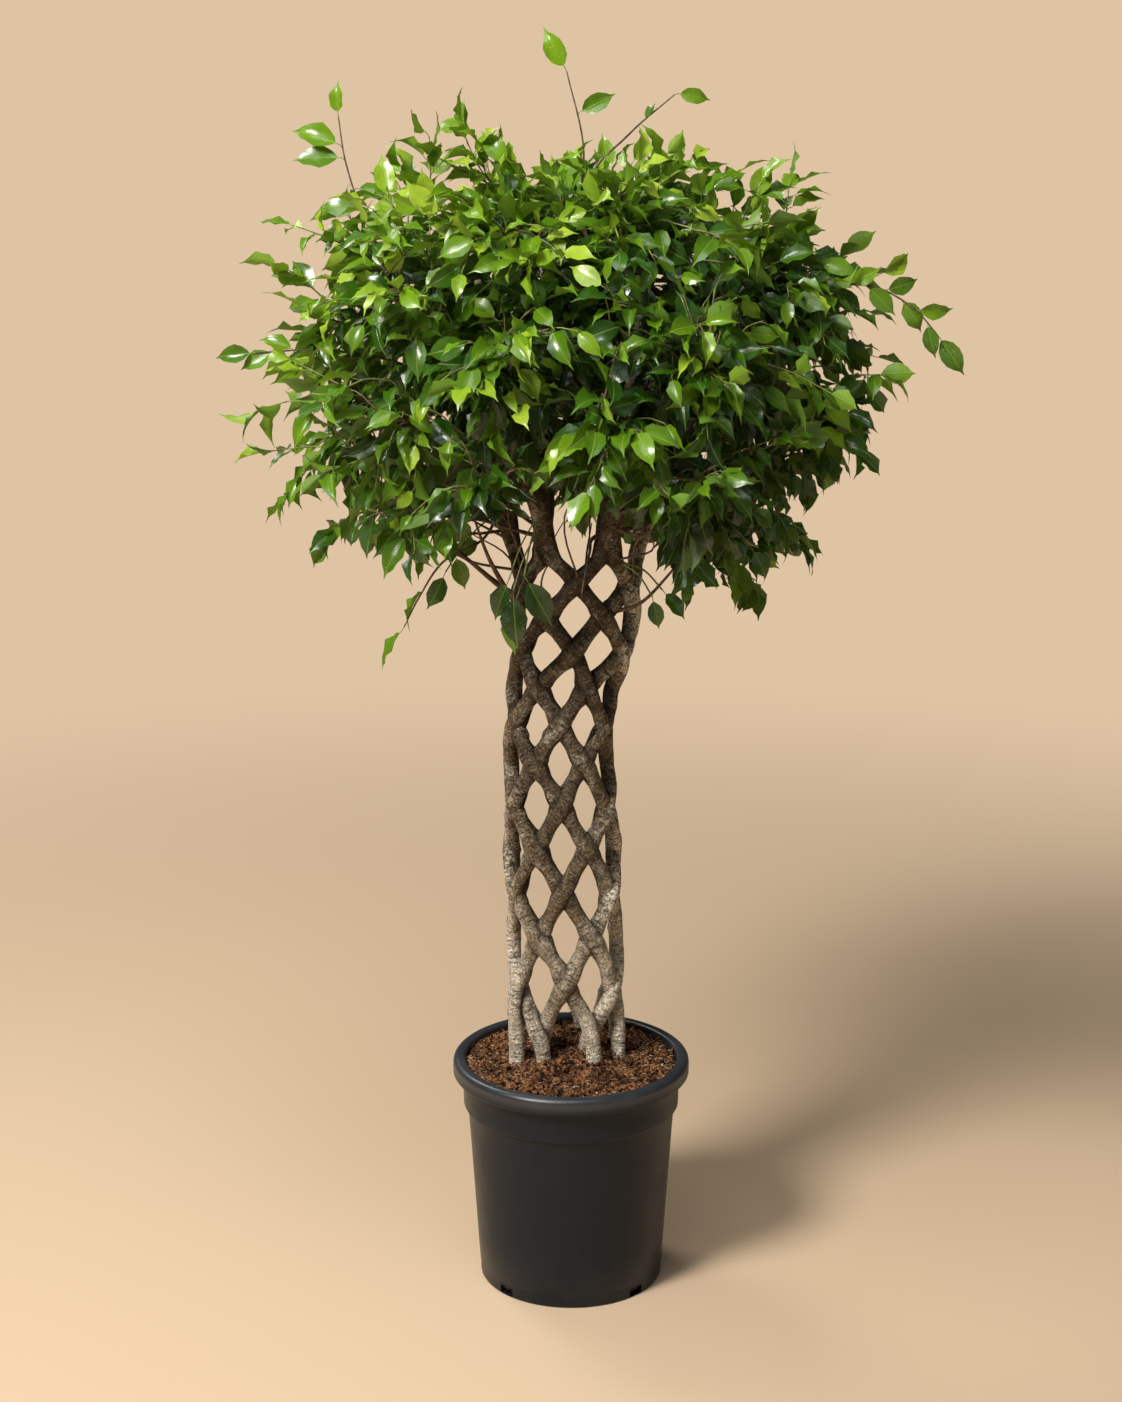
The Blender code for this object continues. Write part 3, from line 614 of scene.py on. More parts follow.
def pot_profile(height, rim_radius):
    """Outline of the wall from the middle of the base, up and over the rim, and down inside."""
    rim_low = height - RIM_DROP
    inner = COLLAR_RADIUS - POT_WALL
    floor_radius, ledge, ledge_radius = pot_inside()
    outline = [(0.0, 0.0), *BASE_RING]
    outline += arc((POT_BASE_RADIUS - BASE_ROUND, BASE_ROUND), BASE_ROUND, -90.0, 0.0, 4)
    outline += [(POT_BASE_RADIUS, FOOT_HEIGHT - 0.0006),
                (POT_BASE_RADIUS + 0.3 * FOOT_STEP, FOOT_HEIGHT),
                (POT_BASE_RADIUS + FOOT_STEP, FOOT_HEIGHT + FOOT_STEP)]
    for share in (0.2, 0.4, 0.6, 0.8):
        level = blend(FOOT_HEIGHT, COLLAR_BOTTOM, share)
        outline.append((pot_wall_radius(level), level))
    outline += [(BODY_TOP_RADIUS, COLLAR_BOTTOM - 0.0045),
                (BODY_TOP_RADIUS + 0.0006, COLLAR_BOTTOM - 0.0028)]
    outline += arc((COLLAR_RADIUS - COLLAR_ROUND, COLLAR_BOTTOM + 0.0012), COLLAR_ROUND,
                   -60.0, 0.0, 4)
    outline += [(COLLAR_RADIUS + 0.0002, COLLAR_BOTTOM + 0.018),
                (COLLAR_RADIUS + 0.0004, rim_low - 0.0030),
                (COLLAR_RADIUS + 0.0014, rim_low - 0.0006),
                (COLLAR_RADIUS + 0.0045, rim_low)]
    outline += arc((rim_radius - RIM_EDGE, rim_low + RIM_EDGE), RIM_EDGE, -90.0, -8.0, 5)
    outline += [(rim_radius, rim_low + 0.008)]
    outline += arc((rim_radius - RIM_ROLL, height - RIM_ROLL), RIM_ROLL, 0.0, 90.0, 8)
    outline += arc((inner + 0.0035, height - 0.0040), LIP_ROLL, 80.0, 178.0, 6)
    outline += [(inner, height - 0.010), (inner, COLLAR_BOTTOM + 0.8 * COLLAR_EASE),
                (ledge_radius, ledge), (floor_radius, POT_FLOOR), (0.0, POT_FLOOR)]
    return outline


def rounded_block(size, softness):
    """A block with rounded edges, for cutting."""
    bm = bmesh.new()
    bmesh.ops.create_cube(bm, size=1.0)
    bmesh.ops.scale(bm, vec=size, verts=bm.verts)
    bmesh.ops.bevel(bm, geom=bm.edges[:], offset=softness, offset_type="OFFSET", segments=3,
                    profile=0.5, affect="EDGES", material=-1)
    bmesh.ops.recalc_face_normals(bm, faces=bm.faces)
    return bm


def cut_away(mesh, cutters):
    """The mesh with closed cutter meshes taken out of it."""
    holder = add_object("being_cut", mesh)
    helpers = []
    for cutter_mesh in cutters:
        helper = add_object("cutter", cutter_mesh)
        helpers.append(helper)
        modifier = holder.modifiers.new("cut", "BOOLEAN")
        modifier.operation = "DIFFERENCE"
        modifier.solver = "EXACT"
        modifier.object = helper
    graph = bpy.context.evaluated_depsgraph_get()
    result = bpy.data.meshes.new_from_object(holder.evaluated_get(graph), depsgraph=graph)
    for helper in helpers:
        bpy.data.objects.remove(helper)
    bpy.data.objects.remove(holder)
    return result


def build_pot(pot):
    """One moulded wall: foot, taper, collar and rolled rim, with four drain notches."""
    wall = mesh_from(spin_profile(pot_profile(pot.height, pot.rim_radius), 160), "pot_wall")
    cutters = []
    for number in range(NOTCHES):
        bm = rounded_block(NOTCH_SIZE, NOTCH_CORNER)
        turn = Matrix.Rotation(FIRST_NOTCH + 2.0 * math.pi * number / NOTCHES, 4, "Z")
        out = Matrix.Translation((POT_BASE_RADIUS + FOOT_STEP, 0.0, NOTCH_HEIGHT))
        bmesh.ops.transform(bm, verts=bm.verts, matrix=turn @ out)
        cutters.append(mesh_from(bm, "notch"))
    mesh = cut_away(wall, cutters)
    mesh.materials.clear()
    place_piece("pot_body", mesh, [plastic_material(pot)], ["pot"], sharp=38.0)


# ==== soil ================================================================================
SOIL_EDGE_Z = 0.286
SOIL_MOUND = 0.022
SOIL_RADIUS = COLLAR_RADIUS - POT_WALL - 0.0006
SOIL_GAP = 0.0004
SOIL_RINGS = 46
CHIPS = 120


def soil_height(x, y):
    """Height of the uneven soil: a low mound with hollows between the stems."""
    share = min(1.0, math.hypot(x, y) / SOIL_RADIUS)
    heap = min(1.0, math.hypot(x - 0.008, y - 0.030) / SOIL_RADIUS)
    mound = SOIL_MOUND * (1.0 - share ** 2.6) * (1.0 - 0.55 * heap)
    hollows = 0.0064 * noise.noise(Vector((x * 26.0, y * 26.0, 3.0))) * (1.0 - 0.5 * share)
    lumps = 0.0054 * noise.noise(Vector((x * 80.0, y * 80.0, 7.0)))
    crumbs = 0.0024 * noise.noise(Vector((x * 230.0, y * 230.0, 11.0)))
    return SOIL_EDGE_Z + mound + hollows + lumps + crumbs


def soil_fill_mesh():
    """The body of soil, as deep as the pot, with a fine uneven top."""
    floor_radius, ledge, ledge_radius = pot_inside()
    outline = [(0.0, POT_FLOOR + SOIL_GAP), (floor_radius - SOIL_GAP, POT_FLOOR + SOIL_GAP),
               (ledge_radius - SOIL_GAP, ledge), (SOIL_RADIUS, COLLAR_BOTTOM + 0.006)]
    outline += [(SOIL_RADIUS * (1.0 - step / SOIL_RINGS), SOIL_EDGE_Z)
                for step in range(SOIL_RINGS + 1)]
    bm = spin_profile(outline, 150)
    for vert in bm.verts:
        if vert.co.z > SOIL_EDGE_Z - 0.002:
            vert.co.z = soil_height(vert.co.x, vert.co.y)
    bmesh.ops.recalc_face_normals(bm, faces=bm.faces)
    return mesh_from(bm, "soil_fill")


def gather(shapes, name, batch=60):
    """Joins (mesh, matrix) copies into one mesh, a batch at a time."""
    whole = bmesh.new()
    for start in range(0, len(shapes), batch):
        part = bmesh.new()
        for mesh, matrix in shapes[start:start + batch]:
            before = len(part.verts)
            part.from_mesh(mesh)
            part.verts.ensure_lookup_table()
            bmesh.ops.transform(part, matrix=matrix, verts=part.verts[before:])
        piece = mesh_from(part, "batch")
        whole.from_mesh(piece)
        bpy.data.meshes.remove(piece)
    return mesh_from(whole, name)


def crumb_shapes(rng):
    """A few lumpy twenty-sided crumbs."""
    shapes = []
    for number in range(5):
        bm = bmesh.new()
        bmesh.ops.create_icosphere(bm, subdivisions=1, radius=1.0)
        for vert in bm.verts:
            vert.co *= 1.0 + rng.uniform(-0.28, 0.22)
        bmesh.ops.recalc_face_normals(bm, faces=bm.faces)
        shapes.append(mesh_from(bm, "crumb_%d" % number))
    return shapes


def soil_spot(rng):
    """A random place on the soil, evenly spread over its area."""
    radius = (SOIL_RADIUS - 0.003) * math.sqrt(rng.random())
    turn = rng.uniform(0.0, 2.0 * math.pi)
    return radius * math.cos(turn), radius * math.sin(turn)


def laid_shape(rng, shapes, x, y, size, rise, stretch):
    """One of the shapes with the matrix that turns it at random and lays it on the soil."""
    shape = rng.choice(shapes)
    turn = Matrix.Rotation(rng.uniform(0.0, math.tau), 4, scatter(rng, 1.0))
    place = Matrix.Translation((x, y, soil_height(x, y) + rise * size))
    return shape, place @ turn @ Matrix.Diagonal((*stretch, 1.0)) @ Matrix.Scale(size, 4)


def laid_fibre(rng):
    """Points and radii of one bent fibre, kept inside the pot and above the soil."""
    x, y = soil_spot(rng)
    turn = rng.uniform(0.0, math.tau)
    length = 0.003 + 0.008 * rng.random() ** 2
    ahead = Vector((math.cos(turn), math.sin(turn), rng.uniform(-0.15, 0.35))) * length
    bend = Vector((-ahead.y, ahead.x, 0.0)) * rng.uniform(-0.3, 0.3)
    start = Vector((x, y, soil_height(x, y) + 0.0006))
    points = [start, start + ahead * 0.5 + bend + UP * length * rng.uniform(0.0, 0.12),
              start + ahead]
    for point in points:
        reach = math.hypot(point.x, point.y)
        if reach > SOIL_RADIUS - 0.001:
            point.xy = point.xy * ((SOIL_RADIUS - 0.001) / reach)
        point.z = max(point.z, soil_height(point.x, point.y) + 0.0003)
    thick = rng.uniform(0.00025, 0.00060)
    return points, (0.6 * thick, thick, 0.3 * thick)


def build_soil(soil):
    """Uneven coir soil with loose crumbs, chips and fibres on it."""
    rng = random.Random(11)
    dark = soil_material(soil, "soil_bed", 0.0)
    loose = soil_material(soil, "soil_crumb", 0.05)
    place_piece("soil_fill", soil_fill_mesh(), [dark], ["potting_soil"])
    shapes = crumb_shapes(rng)
    crumbs = []
    for _ in range(soil.crumbs):
        x, y = soil_spot(rng)
        if noise.noise(Vector((x * 55.0, y * 55.0, 21.0))) < rng.uniform(-0.55, 0.15):
            continue
        size = 0.0007 + 0.0040 * rng.random() ** 4
        stretch = (rng.uniform(0.9, 3.4), rng.uniform(0.4, 0.9), rng.uniform(0.30, 0.65))
        crumbs.append(laid_shape(rng, shapes, x, y, size, 0.25, stretch))
    place_piece("soil_crumbs", gather(crumbs, "soil_crumbs"), [loose])
    chips = []
    for _ in range(CHIPS):
        x, y = soil_spot(rng)
        size = rng.uniform(0.0006, 0.0015)
        chips.append(laid_shape(rng, shapes, x, y, size, 1.0, (1.5, 0.9, 0.5)))
    chip = grain_material("soil_chip", (140.0, 0.35, 0.65), (soil.fibre, (0.80, 0.70, 0.56)),
                          (0.85, 0.85), 900.0, 0.0003, 0.5)
    place_piece("soil_chips", gather(chips, "soil_chips"), [chip])
    for shape in shapes:
        bpy.data.meshes.remove(shape)
    coir = grain_material("coir_fibre", (90.0, 0.30, 0.70), (soil.light, soil.fibre),
                          (0.8, 0.8), 900.0, 0.0003, 0.5)
    fibres = [laid_fibre(rng) for _ in range(soil.fibres)]
    place_piece("soil_fibres", tube_mesh("soil_fibres", fibres, 0), [coir])


# ==== woven stems =========================================================================
# how far a foot stands to the front (or behind, if below 0) of the ring of stems, and the
# level where its stem is back in the ring
LEFT_FOOT = (0.060, 3.0)
RIGHT_FOOT = (0.050, 2.2)
TUCKED_FOOT = (-0.010, 2.2)
REAR_FOOT = (-0.034, 1.5)
MIDDLE_FOOT = (0.016, 1.5)
INNER_FOOT = (-0.006, 1.5)
SIDE_REACH = 0.0032
SIDE_SQUARE = 0.030
JOINT_SWELL = 0.33
STEM_SWAY = 0.0030
STEM_SIDES = 22
STEM_STEP = 0.0036
ROUTE_STEPS = 240
LIMB_STEPS = 40
LIMB_TIP_RADIUS = 0.0044
# distance between centre lines up to which neighbouring stems act on each other
NEIGHBOUR_REACH = 0.028
# how close to a neighbouring stem the painted crevice shade reaches
CREVICE_SHADE_REACH = 0.0085
WIDEST_STEM = 0.0095
KNOTS = 9
FOOT_FLARE = 0.06
FLARE_HEIGHT = 0.010


def trunk_value(height, column):
    """Trunk axis x (column 1) or cage radius (column 2) at a height."""
    if height <= TRUNK_STATIONS[0][0]:
        return TRUNK_STATIONS[0][column]
    for low, high in zip(TRUNK_STATIONS, TRUNK_STATIONS[1:]):
        if height <= high[0]:
            return blend(low[column], high[column],
                         ease((height - low[0]) / (high[0] - low[0])))
    return TRUNK_STATIONS[-1][column]


def crossing_height(level):
    return FIRST_CROSSING_Z + CROSSING_RISE * level - CROSSING_SQUEEZE * level * level


def winding(level):
    """Crossings wound at a level; the feet run nearly straight up."""
    return level + max(0.0, STRAIGHT_FOOT - level) ** 2 / (2.0 * STRAIGHT_FOOT)


def stem_angle(level, first, direction):
    """Place round the trunk; direction is 1 for stems that wind to the right."""
    return CROSSING_STEP * (2 * first + direction * winding(level))


def foot_shift(level, first, direction):
    """How far a foot stands to the front: at the sides one of each two, in the front not all."""
    angle = stem_angle(0.0, first, direction)
    sine = math.sin(angle)
    if abs(sine) > 0.9:
        if direction * sine > 0.0:
            step, fade = TUCKED_FOOT
        else:
            step, fade = LEFT_FOOT if direction > 0 else RIGHT_FOOT
    elif math.cos(angle) <= 0.3:
        return 0.0
    elif direction > 0:
        step, fade = REAR_FOOT
    else:
        step, fade = MIDDLE_FOOT if sine > 0.0 else INNER_FOOT
    return step * (1.0 - ease(level / fade))


def weave_point(level, first, direction, depth):
    """Centre of a stem at a level, where it swings out or in past the stem it crosses."""
    wound = winding(level)
    angle = stem_angle(level, first, direction)
    height = crossing_height(level)
    radius = trunk_value(height, 2)
    drop = radius * (1.0 - math.cos(angle)) * (EYE_HEIGHT - height) / EYE_DISTANCE
    facing = math.cos(angle) ** 2
    reach = radius + depth * math.cos(math.pi * wound) * direction * min(1.0, 0.4 + 2.0 * facing)
    reach += SIDE_REACH * (1.0 - facing) + SIDE_SQUARE * facing * (1.0 - facing) ** 2
    return Vector((trunk_value(height, 1) + reach * math.sin(angle),
                   TRUNK_Y - reach * math.cos(angle) - foot_shift(level, first, direction),
                   height - drop))


def limb_points(start, before, direction):
    """The free limb above the weave: up, and outwards more and more."""
    kind = 0 if direction > 0 else 1
    outward = start - Vector((trunk_value(start.z, 1), TRUNK_Y, start.z))
    outward.z = 0.0
    outward.normalize()
    lead = (start - before).normalized()
    lift = crossing_height(WEAVE_TOP) + LIMB_RISE[kind] - start.z
    points = []
    for step in range(1, LIMB_STEPS + 1):
        share = step / LIMB_STEPS
        settle = lead * 0.16 * share * (1.0 - share) ** 2
        spread = outward * LIMB_SPREAD[kind] * share ** 1.6
        points.append(start + settle + spread + UP * lift * share * share * (2.0 - share))
    return points


def drift(point):
    """A smooth random push for a place, the same in every run."""
    return Vector([noise.noise(point + Vector((31.0, 17.0, 7.0)) * axis) for axis in (1, 2, 3)])


def stem_route(first, direction, depth):
    """Evenly stepped centre line of one stem, and how far along it the limb starts."""
    woven = [weave_point(WEAVE_TOP * step / ROUTE_STEPS, first, direction, depth)
             for step in range(ROUTE_STEPS + 1)]
    woven = [point for point in woven if point.z > SOIL_EDGE_Z - 0.020]
    woven.insert(0, Vector((woven[0].x, woven[0].y, SOIL_EDGE_Z - 0.043)))
    rough = woven + limb_points(woven[-1], woven[-3], direction)
    spans = span_lengths(rough)
    length = sum(spans)
    count = round(length / STEM_STEP)
    route, index, walked = [], 0, 0.0
    for step in range(count + 1):
        wanted = length * step / count
        while index < len(spans) - 1 and walked + spans[index] < wanted:
            walked += spans[index]
            index += 1
        share = (wanted - walked) / spans[index]
        route.append(rough[index].lerp(rough[index + 1], share))
    for _ in range(2):
        middle = [(a + b * 2.0 + c) * 0.25 for a, b, c in zip(route, route[1:], route[2:])]
        route = [route[0], *middle, route[-1]]
    seed = Vector((3.0 * first, 5.0 * direction, 0.0))
    route = [point + drift(point * 17.0 + seed) * STEM_SWAY for point in route]
    return route, sum(span_lengths(woven)) / length


def all_stems(depth):
    """(name, route, share where the limb starts) of the twelve stems, in packed order."""
    stems = []
    for first in range(STEM_PAIRS):
        for direction in (1, -1):
            route, split = stem_route(first, direction, depth)
            stems.append(("stem_%02d" % (len(stems) + 1), route, split))
    return stems


def stem_radius(trunk, share, split):
    """Radius at a share of a stem's length; past the split the limb swells and then thins."""
    if share <= split:
        return blend(trunk.foot_radius, trunk.top_radius, share / split)
    out = (share - split) / (1.0 - split)
    swell = 1.0 + 0.16 * math.sin(math.pi * out ** 0.6)
    return blend(trunk.top_radius, LIMB_TIP_RADIUS, out) * swell


def bark_swell(seed, cosine, sine, length):
    """Share by which the bark stands out or in: long lumps, rings and fine ridges."""
    lumps = noise.noise(Vector((cosine * 1.1 + seed, sine * 1.1, length * 34.0)))
    rings = noise.noise(Vector((cosine * 0.7, sine * 0.7 + seed, length * 120.0)))
    ridges = noise.noise(Vector((cosine * 3.2, sine * 3.2 + seed, length * 60.0)))
    return 0.125 * lumps + 0.030 * rings + 0.040 * ridges


def carry_frames(route):
    """(normal, binormal) at each point, carried along the route without twisting."""
    frames = []
    normal = None
    for before, after in zip([route[0], *route], [*route[1:], route[-1]]):
        ahead = (after - before).normalized()
        if normal is None:
            normal = ahead.orthogonal()
        normal = (normal - ahead * normal.dot(ahead)).normalized()
        frames.append((normal, ahead.cross(normal)))
    return frames


def grow_stem(number, route, frames, radii, knots):
    """A ring at the foot, extruded from point to point; its bark map follows the stem."""
    bm = bmesh.new()
    place = bm.verts.layers.float_vector.new("bark_place")
    ring = bmesh.ops.create_circle(bm, cap_ends=True, segments=STEM_SIDES, radius=1.0)["verts"]
    edges = bm.edges[:]
    seed = 10.0 * number
    turns = {vert: math.atan2(vert.co.y, vert.co.x) for vert in ring}
    walked = 0.0
    for index, (point, radius, (normal, binormal)) in enumerate(zip(route, radii, frames)):
        if index:
            walked += (point - route[index - 1]).length
            old = {vert.co.copy().freeze(): turn for vert, turn in turns.items()}
            grown = bmesh.ops.extrude_edge_only(bm, edges=edges)["geom"]
            ring = [item for item in grown if isinstance(item, bmesh.types.BMVert)]
            turns = {vert: old[vert.co.copy().freeze()] for vert in ring}
            edges = [item for item in grown if isinstance(item, bmesh.types.BMEdge)
                     and item.verts[0] in turns and item.verts[1] in turns]
        for vert, turn in turns.items():
            cosine, sine = math.cos(turn), math.sin(turn)
            swell = bark_swell(seed, cosine, sine, walked)
            side = normal * cosine + binormal * sine
            vert[place] = (cosine * radius, sine * radius, walked + seed)
            spot = point + side * radius
            for centre, size, rise in knots:
                near = (spot - centre).length / size
                if near < 2.5:
                    swell += rise * math.exp(-near * near * 1.6)
            vert.co = point + side * radius * (1.0 + swell)
    bmesh.ops.edgeloop_fill(bm, edges=edges)
    bmesh.ops.recalc_face_normals(bm, faces=bm.faces)
    return mesh_from(bm, "stem")


def paint_crevice_shade(mesh, own, tree, owners, radii, parting):
    """Writes painted crevice shade: how close each bark point lies to a neighbouring stem, from 0
    to 1.

    Parting, from ring to ring, is 0 where two stems have grown into one.
    """
    layer = mesh.attributes.new("crevice_shade", "FLOAT", "POINT")
    values = []
    for vert in mesh.vertices:
        gap = CREVICE_SHADE_REACH
        for _, index, distance in tree.find_range(vert.co, WIDEST_STEM + CREVICE_SHADE_REACH):
            if owners[index] != own:
                gap = min(gap, distance - radii[index])
        ring = min(vert.index // STEM_SIDES, len(parting) - 1)
        values.append((1.0 - ease(gap / CREVICE_SHADE_REACH)) * parting[ring])
    layer.data.foreach_set("value", values)


def build_stems(trunk):
    """Twelve woven stems whose limbs carry the crown."""
    stems = all_stems(trunk.weave)
    rng = random.Random(5)
    bark = bark_material(trunk)
    every, owners, widths, radii_of, parting = [], [], [], {}, {}
    for name, route, split in stems:
        own = 1.0 + rng.uniform(-0.07, 0.07)
        radii = []
        for index, point in enumerate(route):
            radius = stem_radius(trunk, index / (len(route) - 1), split) * own
            above = max(0.0, point.z - SOIL_TOP_Z)
            radius *= 1.0 + FOOT_FLARE * math.exp(-above / FLARE_HEIGHT)
            radii.append(radius)
        every += route
        owners += [name] * len(route)
        widths += radii
        radii_of[name], parting[name] = radii, []
    tree = point_tree(every)
    for name, route, _ in stems:
        for index, point in enumerate(route):
            near = min((gap for _, other, gap in tree.find_range(point, NEIGHBOUR_REACH)
                        if owners[other] != name), default=NEIGHBOUR_REACH)
            aside = abs(point.x - trunk_value(point.z, 1)) / trunk_value(point.z, 2)
            swell = JOINT_SWELL * (1.0 - ease((aside - 0.7) / 0.3))
            swell *= 1.0 + 0.9 * noise.noise(point * 14.0)
            radii_of[name][index] *= 1.0 + swell * (1.0 - ease((near - 0.004) / 0.022))
            parting[name].append(blend(ease((near - 0.003) / 0.004), ease((near - 0.010) / 0.006),
                                       ease((aside - 0.6) / 0.3)))
    for number, (name, route, _) in enumerate(stems, 1):
        frames = carry_frames(route)
        knots = []
        for _ in range(KNOTS):
            index = rng.randrange(len(route) // 12, int(len(route) * 0.8))
            turn = rng.uniform(0.0, math.tau)
            normal, binormal = frames[index]
            side = normal * math.cos(turn) + binormal * math.sin(turn)
            knots.append((route[index] + side * radii_of[name][index],
                          rng.uniform(0.0035, 0.0065), rng.uniform(0.10, 0.24)))
        mesh = grow_stem(number, route, frames, radii_of[name], knots)
        paint_crevice_shade(mesh, name, tree, owners, widths, parting[name])
        place_piece("bark_" + name, mesh, [bark], [name])


# ==== crown ===============================================================================
# share of a leaf's length, share of its half width
LEAF_ROWS = ((0.0, 0.0), (0.06, 0.34), (0.19, 0.80), (0.38, 1.0), (0.57, 0.91), (0.73, 0.56),
             (0.85, 0.15), (1.0, 0.0))
SPRIGS = 70
BARE_TWIGS = 40
LEAF_STALK = (0.00055, 0.00050, 0.00045)
TWIG_ROOT = 0.0040
SHOOT_ROOT = 0.0022
TWIG_END = 0.0007
# tips that are tried for each twig, and the least distance between two sprigs' tips
TRIES = 14
SPRIG_GAP = 0.055
LONG_ROUTES = {
    "top_shoot": ((0.012, -0.010, 1.360), (0.013, -0.018, 1.430), (-0.006, -0.020, 1.512)),
    "upper_left_shoot": ((-0.205, -0.005, 1.270), (-0.238, -0.012, 1.335),
                         (-0.263, -0.015, 1.412), (-0.270, -0.015, 1.462)),
    "upper_right_shoot": ((0.022, 0.010, 1.385), (0.066, 0.020, 1.440), (0.120, 0.025, 1.486)),
    "right_shoot": ((0.200, 0.0, 1.232), (0.282, -0.008, 1.262), (0.350, -0.012, 1.268),
                    (0.402, -0.018, 1.242), (0.430, -0.020, 1.212)),
    "left_shoot": ((-0.180, 0.010, 1.165), (-0.290, 0.005, 1.190), (-0.375, 0.0, 1.188)),
    "low_left_shoot": ((-0.105, 0.0, 0.965), (-0.155, -0.016, 0.938), (-0.185, -0.030, 0.895),
                       (-0.202, -0.035, 0.862)),
}
# metres back from the shoot's tip, heading seen from the front (0 is up, 90 right), size and,
# where a leaf shows its edge, its turn about its midrib
SHOOT_LEAVES = {
    "top_shoot": ((0.098, 205.0, 0.98), (0.050, 62.0, 0.90), (0.0, -30.0, 1.02)),
    "upper_left_shoot": ((0.160, -75.0, 0.80), (0.135, 78.0, 0.85), (0.112, -80.0, 0.92),
                         (0.086, 98.0, 0.80), (0.050, -88.0, 1.10), (0.036, -68.0, 1.18),
                         (0.0, -4.0, 0.72)),
    "upper_right_shoot": ((0.046, 28.0, 0.42), (0.0, 98.0, 0.78)),
    "right_shoot": ((0.215, 50.0, 0.95), (0.195, 128.0, 1.00), (0.172, 66.0, 0.90),
                    (0.150, 126.0, 0.95), (0.128, 62.0, 0.80), (0.106, 134.0, 0.90),
                    (0.084, 76.0, 0.80), (0.062, 142.0, 0.88), (0.040, 92.0, 0.82),
                    (0.020, 168.0, 0.80), (0.0, 146.0, 1.05)),
    "left_shoot": ((0.125, -128.0, 0.90), (0.100, -58.0, 0.86), (0.075, -120.0, 0.95),
                   (0.048, -66.0, 0.84), (0.024, -114.0, 0.86), (0.0, -94.0, 0.90)),
    "low_left_shoot": ((0.148, 244.0, 0.80), (0.112, 165.0, 0.84), (0.056, 217.0, 1.05, 64.0),
                       (0.0, 216.0, 1.10, 56.0)),
}
# tips of the thin shoots that make the outline seen from the front
SPRIG_TIPS = (
    (-0.165, -0.020, 1.440), (-0.130, 0.020, 1.450), (0.142, -0.030, 1.412),
    (0.168, 0.020, 1.382), (0.218, 0.000, 1.385), (0.250, -0.020, 1.325),
    (0.290, 0.000, 1.292), (-0.372, -0.010, 1.122), (-0.365, 0.010, 1.068),
    (-0.340, 0.000, 1.290), (-0.322, -0.020, 1.338), (0.345, 0.000, 1.152),
    (0.332, -0.020, 1.102), (0.308, 0.010, 1.056), (-0.296, 0.000, 0.968),
    (0.276, -0.020, 0.962), (0.222, -0.030, 0.918), (-0.338, 0.000, 1.018),
    (0.130, -0.050, 0.925), (-0.197, 0.000, 1.402), (-0.150, -0.010, 1.412),
    (-0.106, 0.000, 1.425), (-0.070, -0.020, 1.402), (-0.218, -0.030, 1.372),
    (0.076, -0.020, 1.402), (0.106, 0.010, 1.412),
)
# bare boughs low on the trunk: thickness at the root, then the route
BOUGHS = (
    (0.0052, (-0.062, -0.030, 0.895), (-0.088, -0.035, 0.914), (-0.120, -0.030, 0.940),
     (-0.175, -0.020, 0.985)),
    (0.0036, (-0.078, -0.032, 0.905), (-0.100, -0.060, 0.955), (-0.118, -0.070, 1.010)),
    (0.0032, (0.052, -0.030, 0.880), (0.080, -0.045, 0.892), (0.112, -0.050, 0.925),
     (0.150, -0.045, 0.975)),
)
# leaves that hang in front of the trunk's top: place, heading seen from the front, size, tint
FRONT_LEAVES = (
    ((-0.056, -0.085, 0.936), 152.0, 1.25, 0.16), ((-0.069, -0.093, 0.920), 178.0, 1.25, 0.10),
    ((-0.074, -0.086, 0.932), 202.0, 1.00, 0.24), ((-0.069, -0.080, 0.897), 184.0, 1.05, 0.62),
    ((-0.150, -0.060, 0.935), 205.0, 0.90, 0.30), ((0.096, -0.060, 0.905), 168.0, 0.75, 0.34),
    ((0.108, -0.055, 0.912), 138.0, 0.80, 0.40),
)
# along a path: places of the first and last leaf, smallest and largest size, sway, shrink of
# the sizes towards the tip, then the last leaf's share of side, share of size and extra tint
TWIG_LEAVES = ((0.26, 0.97), (0.68, 1.14), 1.0, 0.78, (0.15, 0.9, 0.04))
HIGH_SPRIG_LEAVES = ((0.36, 0.985), (0.72, 1.0), 0.6, 1.0, (0.2, 1.0, 0.0))
LOW_SPRIG_LEAVES = ((0.36, 0.985), (0.72, 1.0), 1.2, 1.0, (0.2, 1.0, 0.0))
BRANCH_LEAVES = ((0.55, 0.985), (0.80, 1.05), 0.8, 1.0, (0.2, 1.0, 0.0))
BRANCH_LEAF_COUNT = 7


def crown_reach(direction):
    """Distance from the crown's centre to its outline along a unit direction."""
    flat = math.hypot(direction.x, direction.y)
    side, tuck = CROWN_RIGHT if direction.x > 0.0 else CROWN_LEFT
    side -= tuck * ease(-2.0 * direction.z) * abs(direction.x)
    side = blend(side, CROWN_DEPTH, (direction.y / max(flat, 0.001)) ** 2)
    tall = CROWN_TOP if direction.z > 0.0 else CROWN_UNDER
    power = CROWN_SQUARENESS
    return ((flat / side) ** power + (abs(direction.z) / tall) ** power) ** (-1.0 / power)


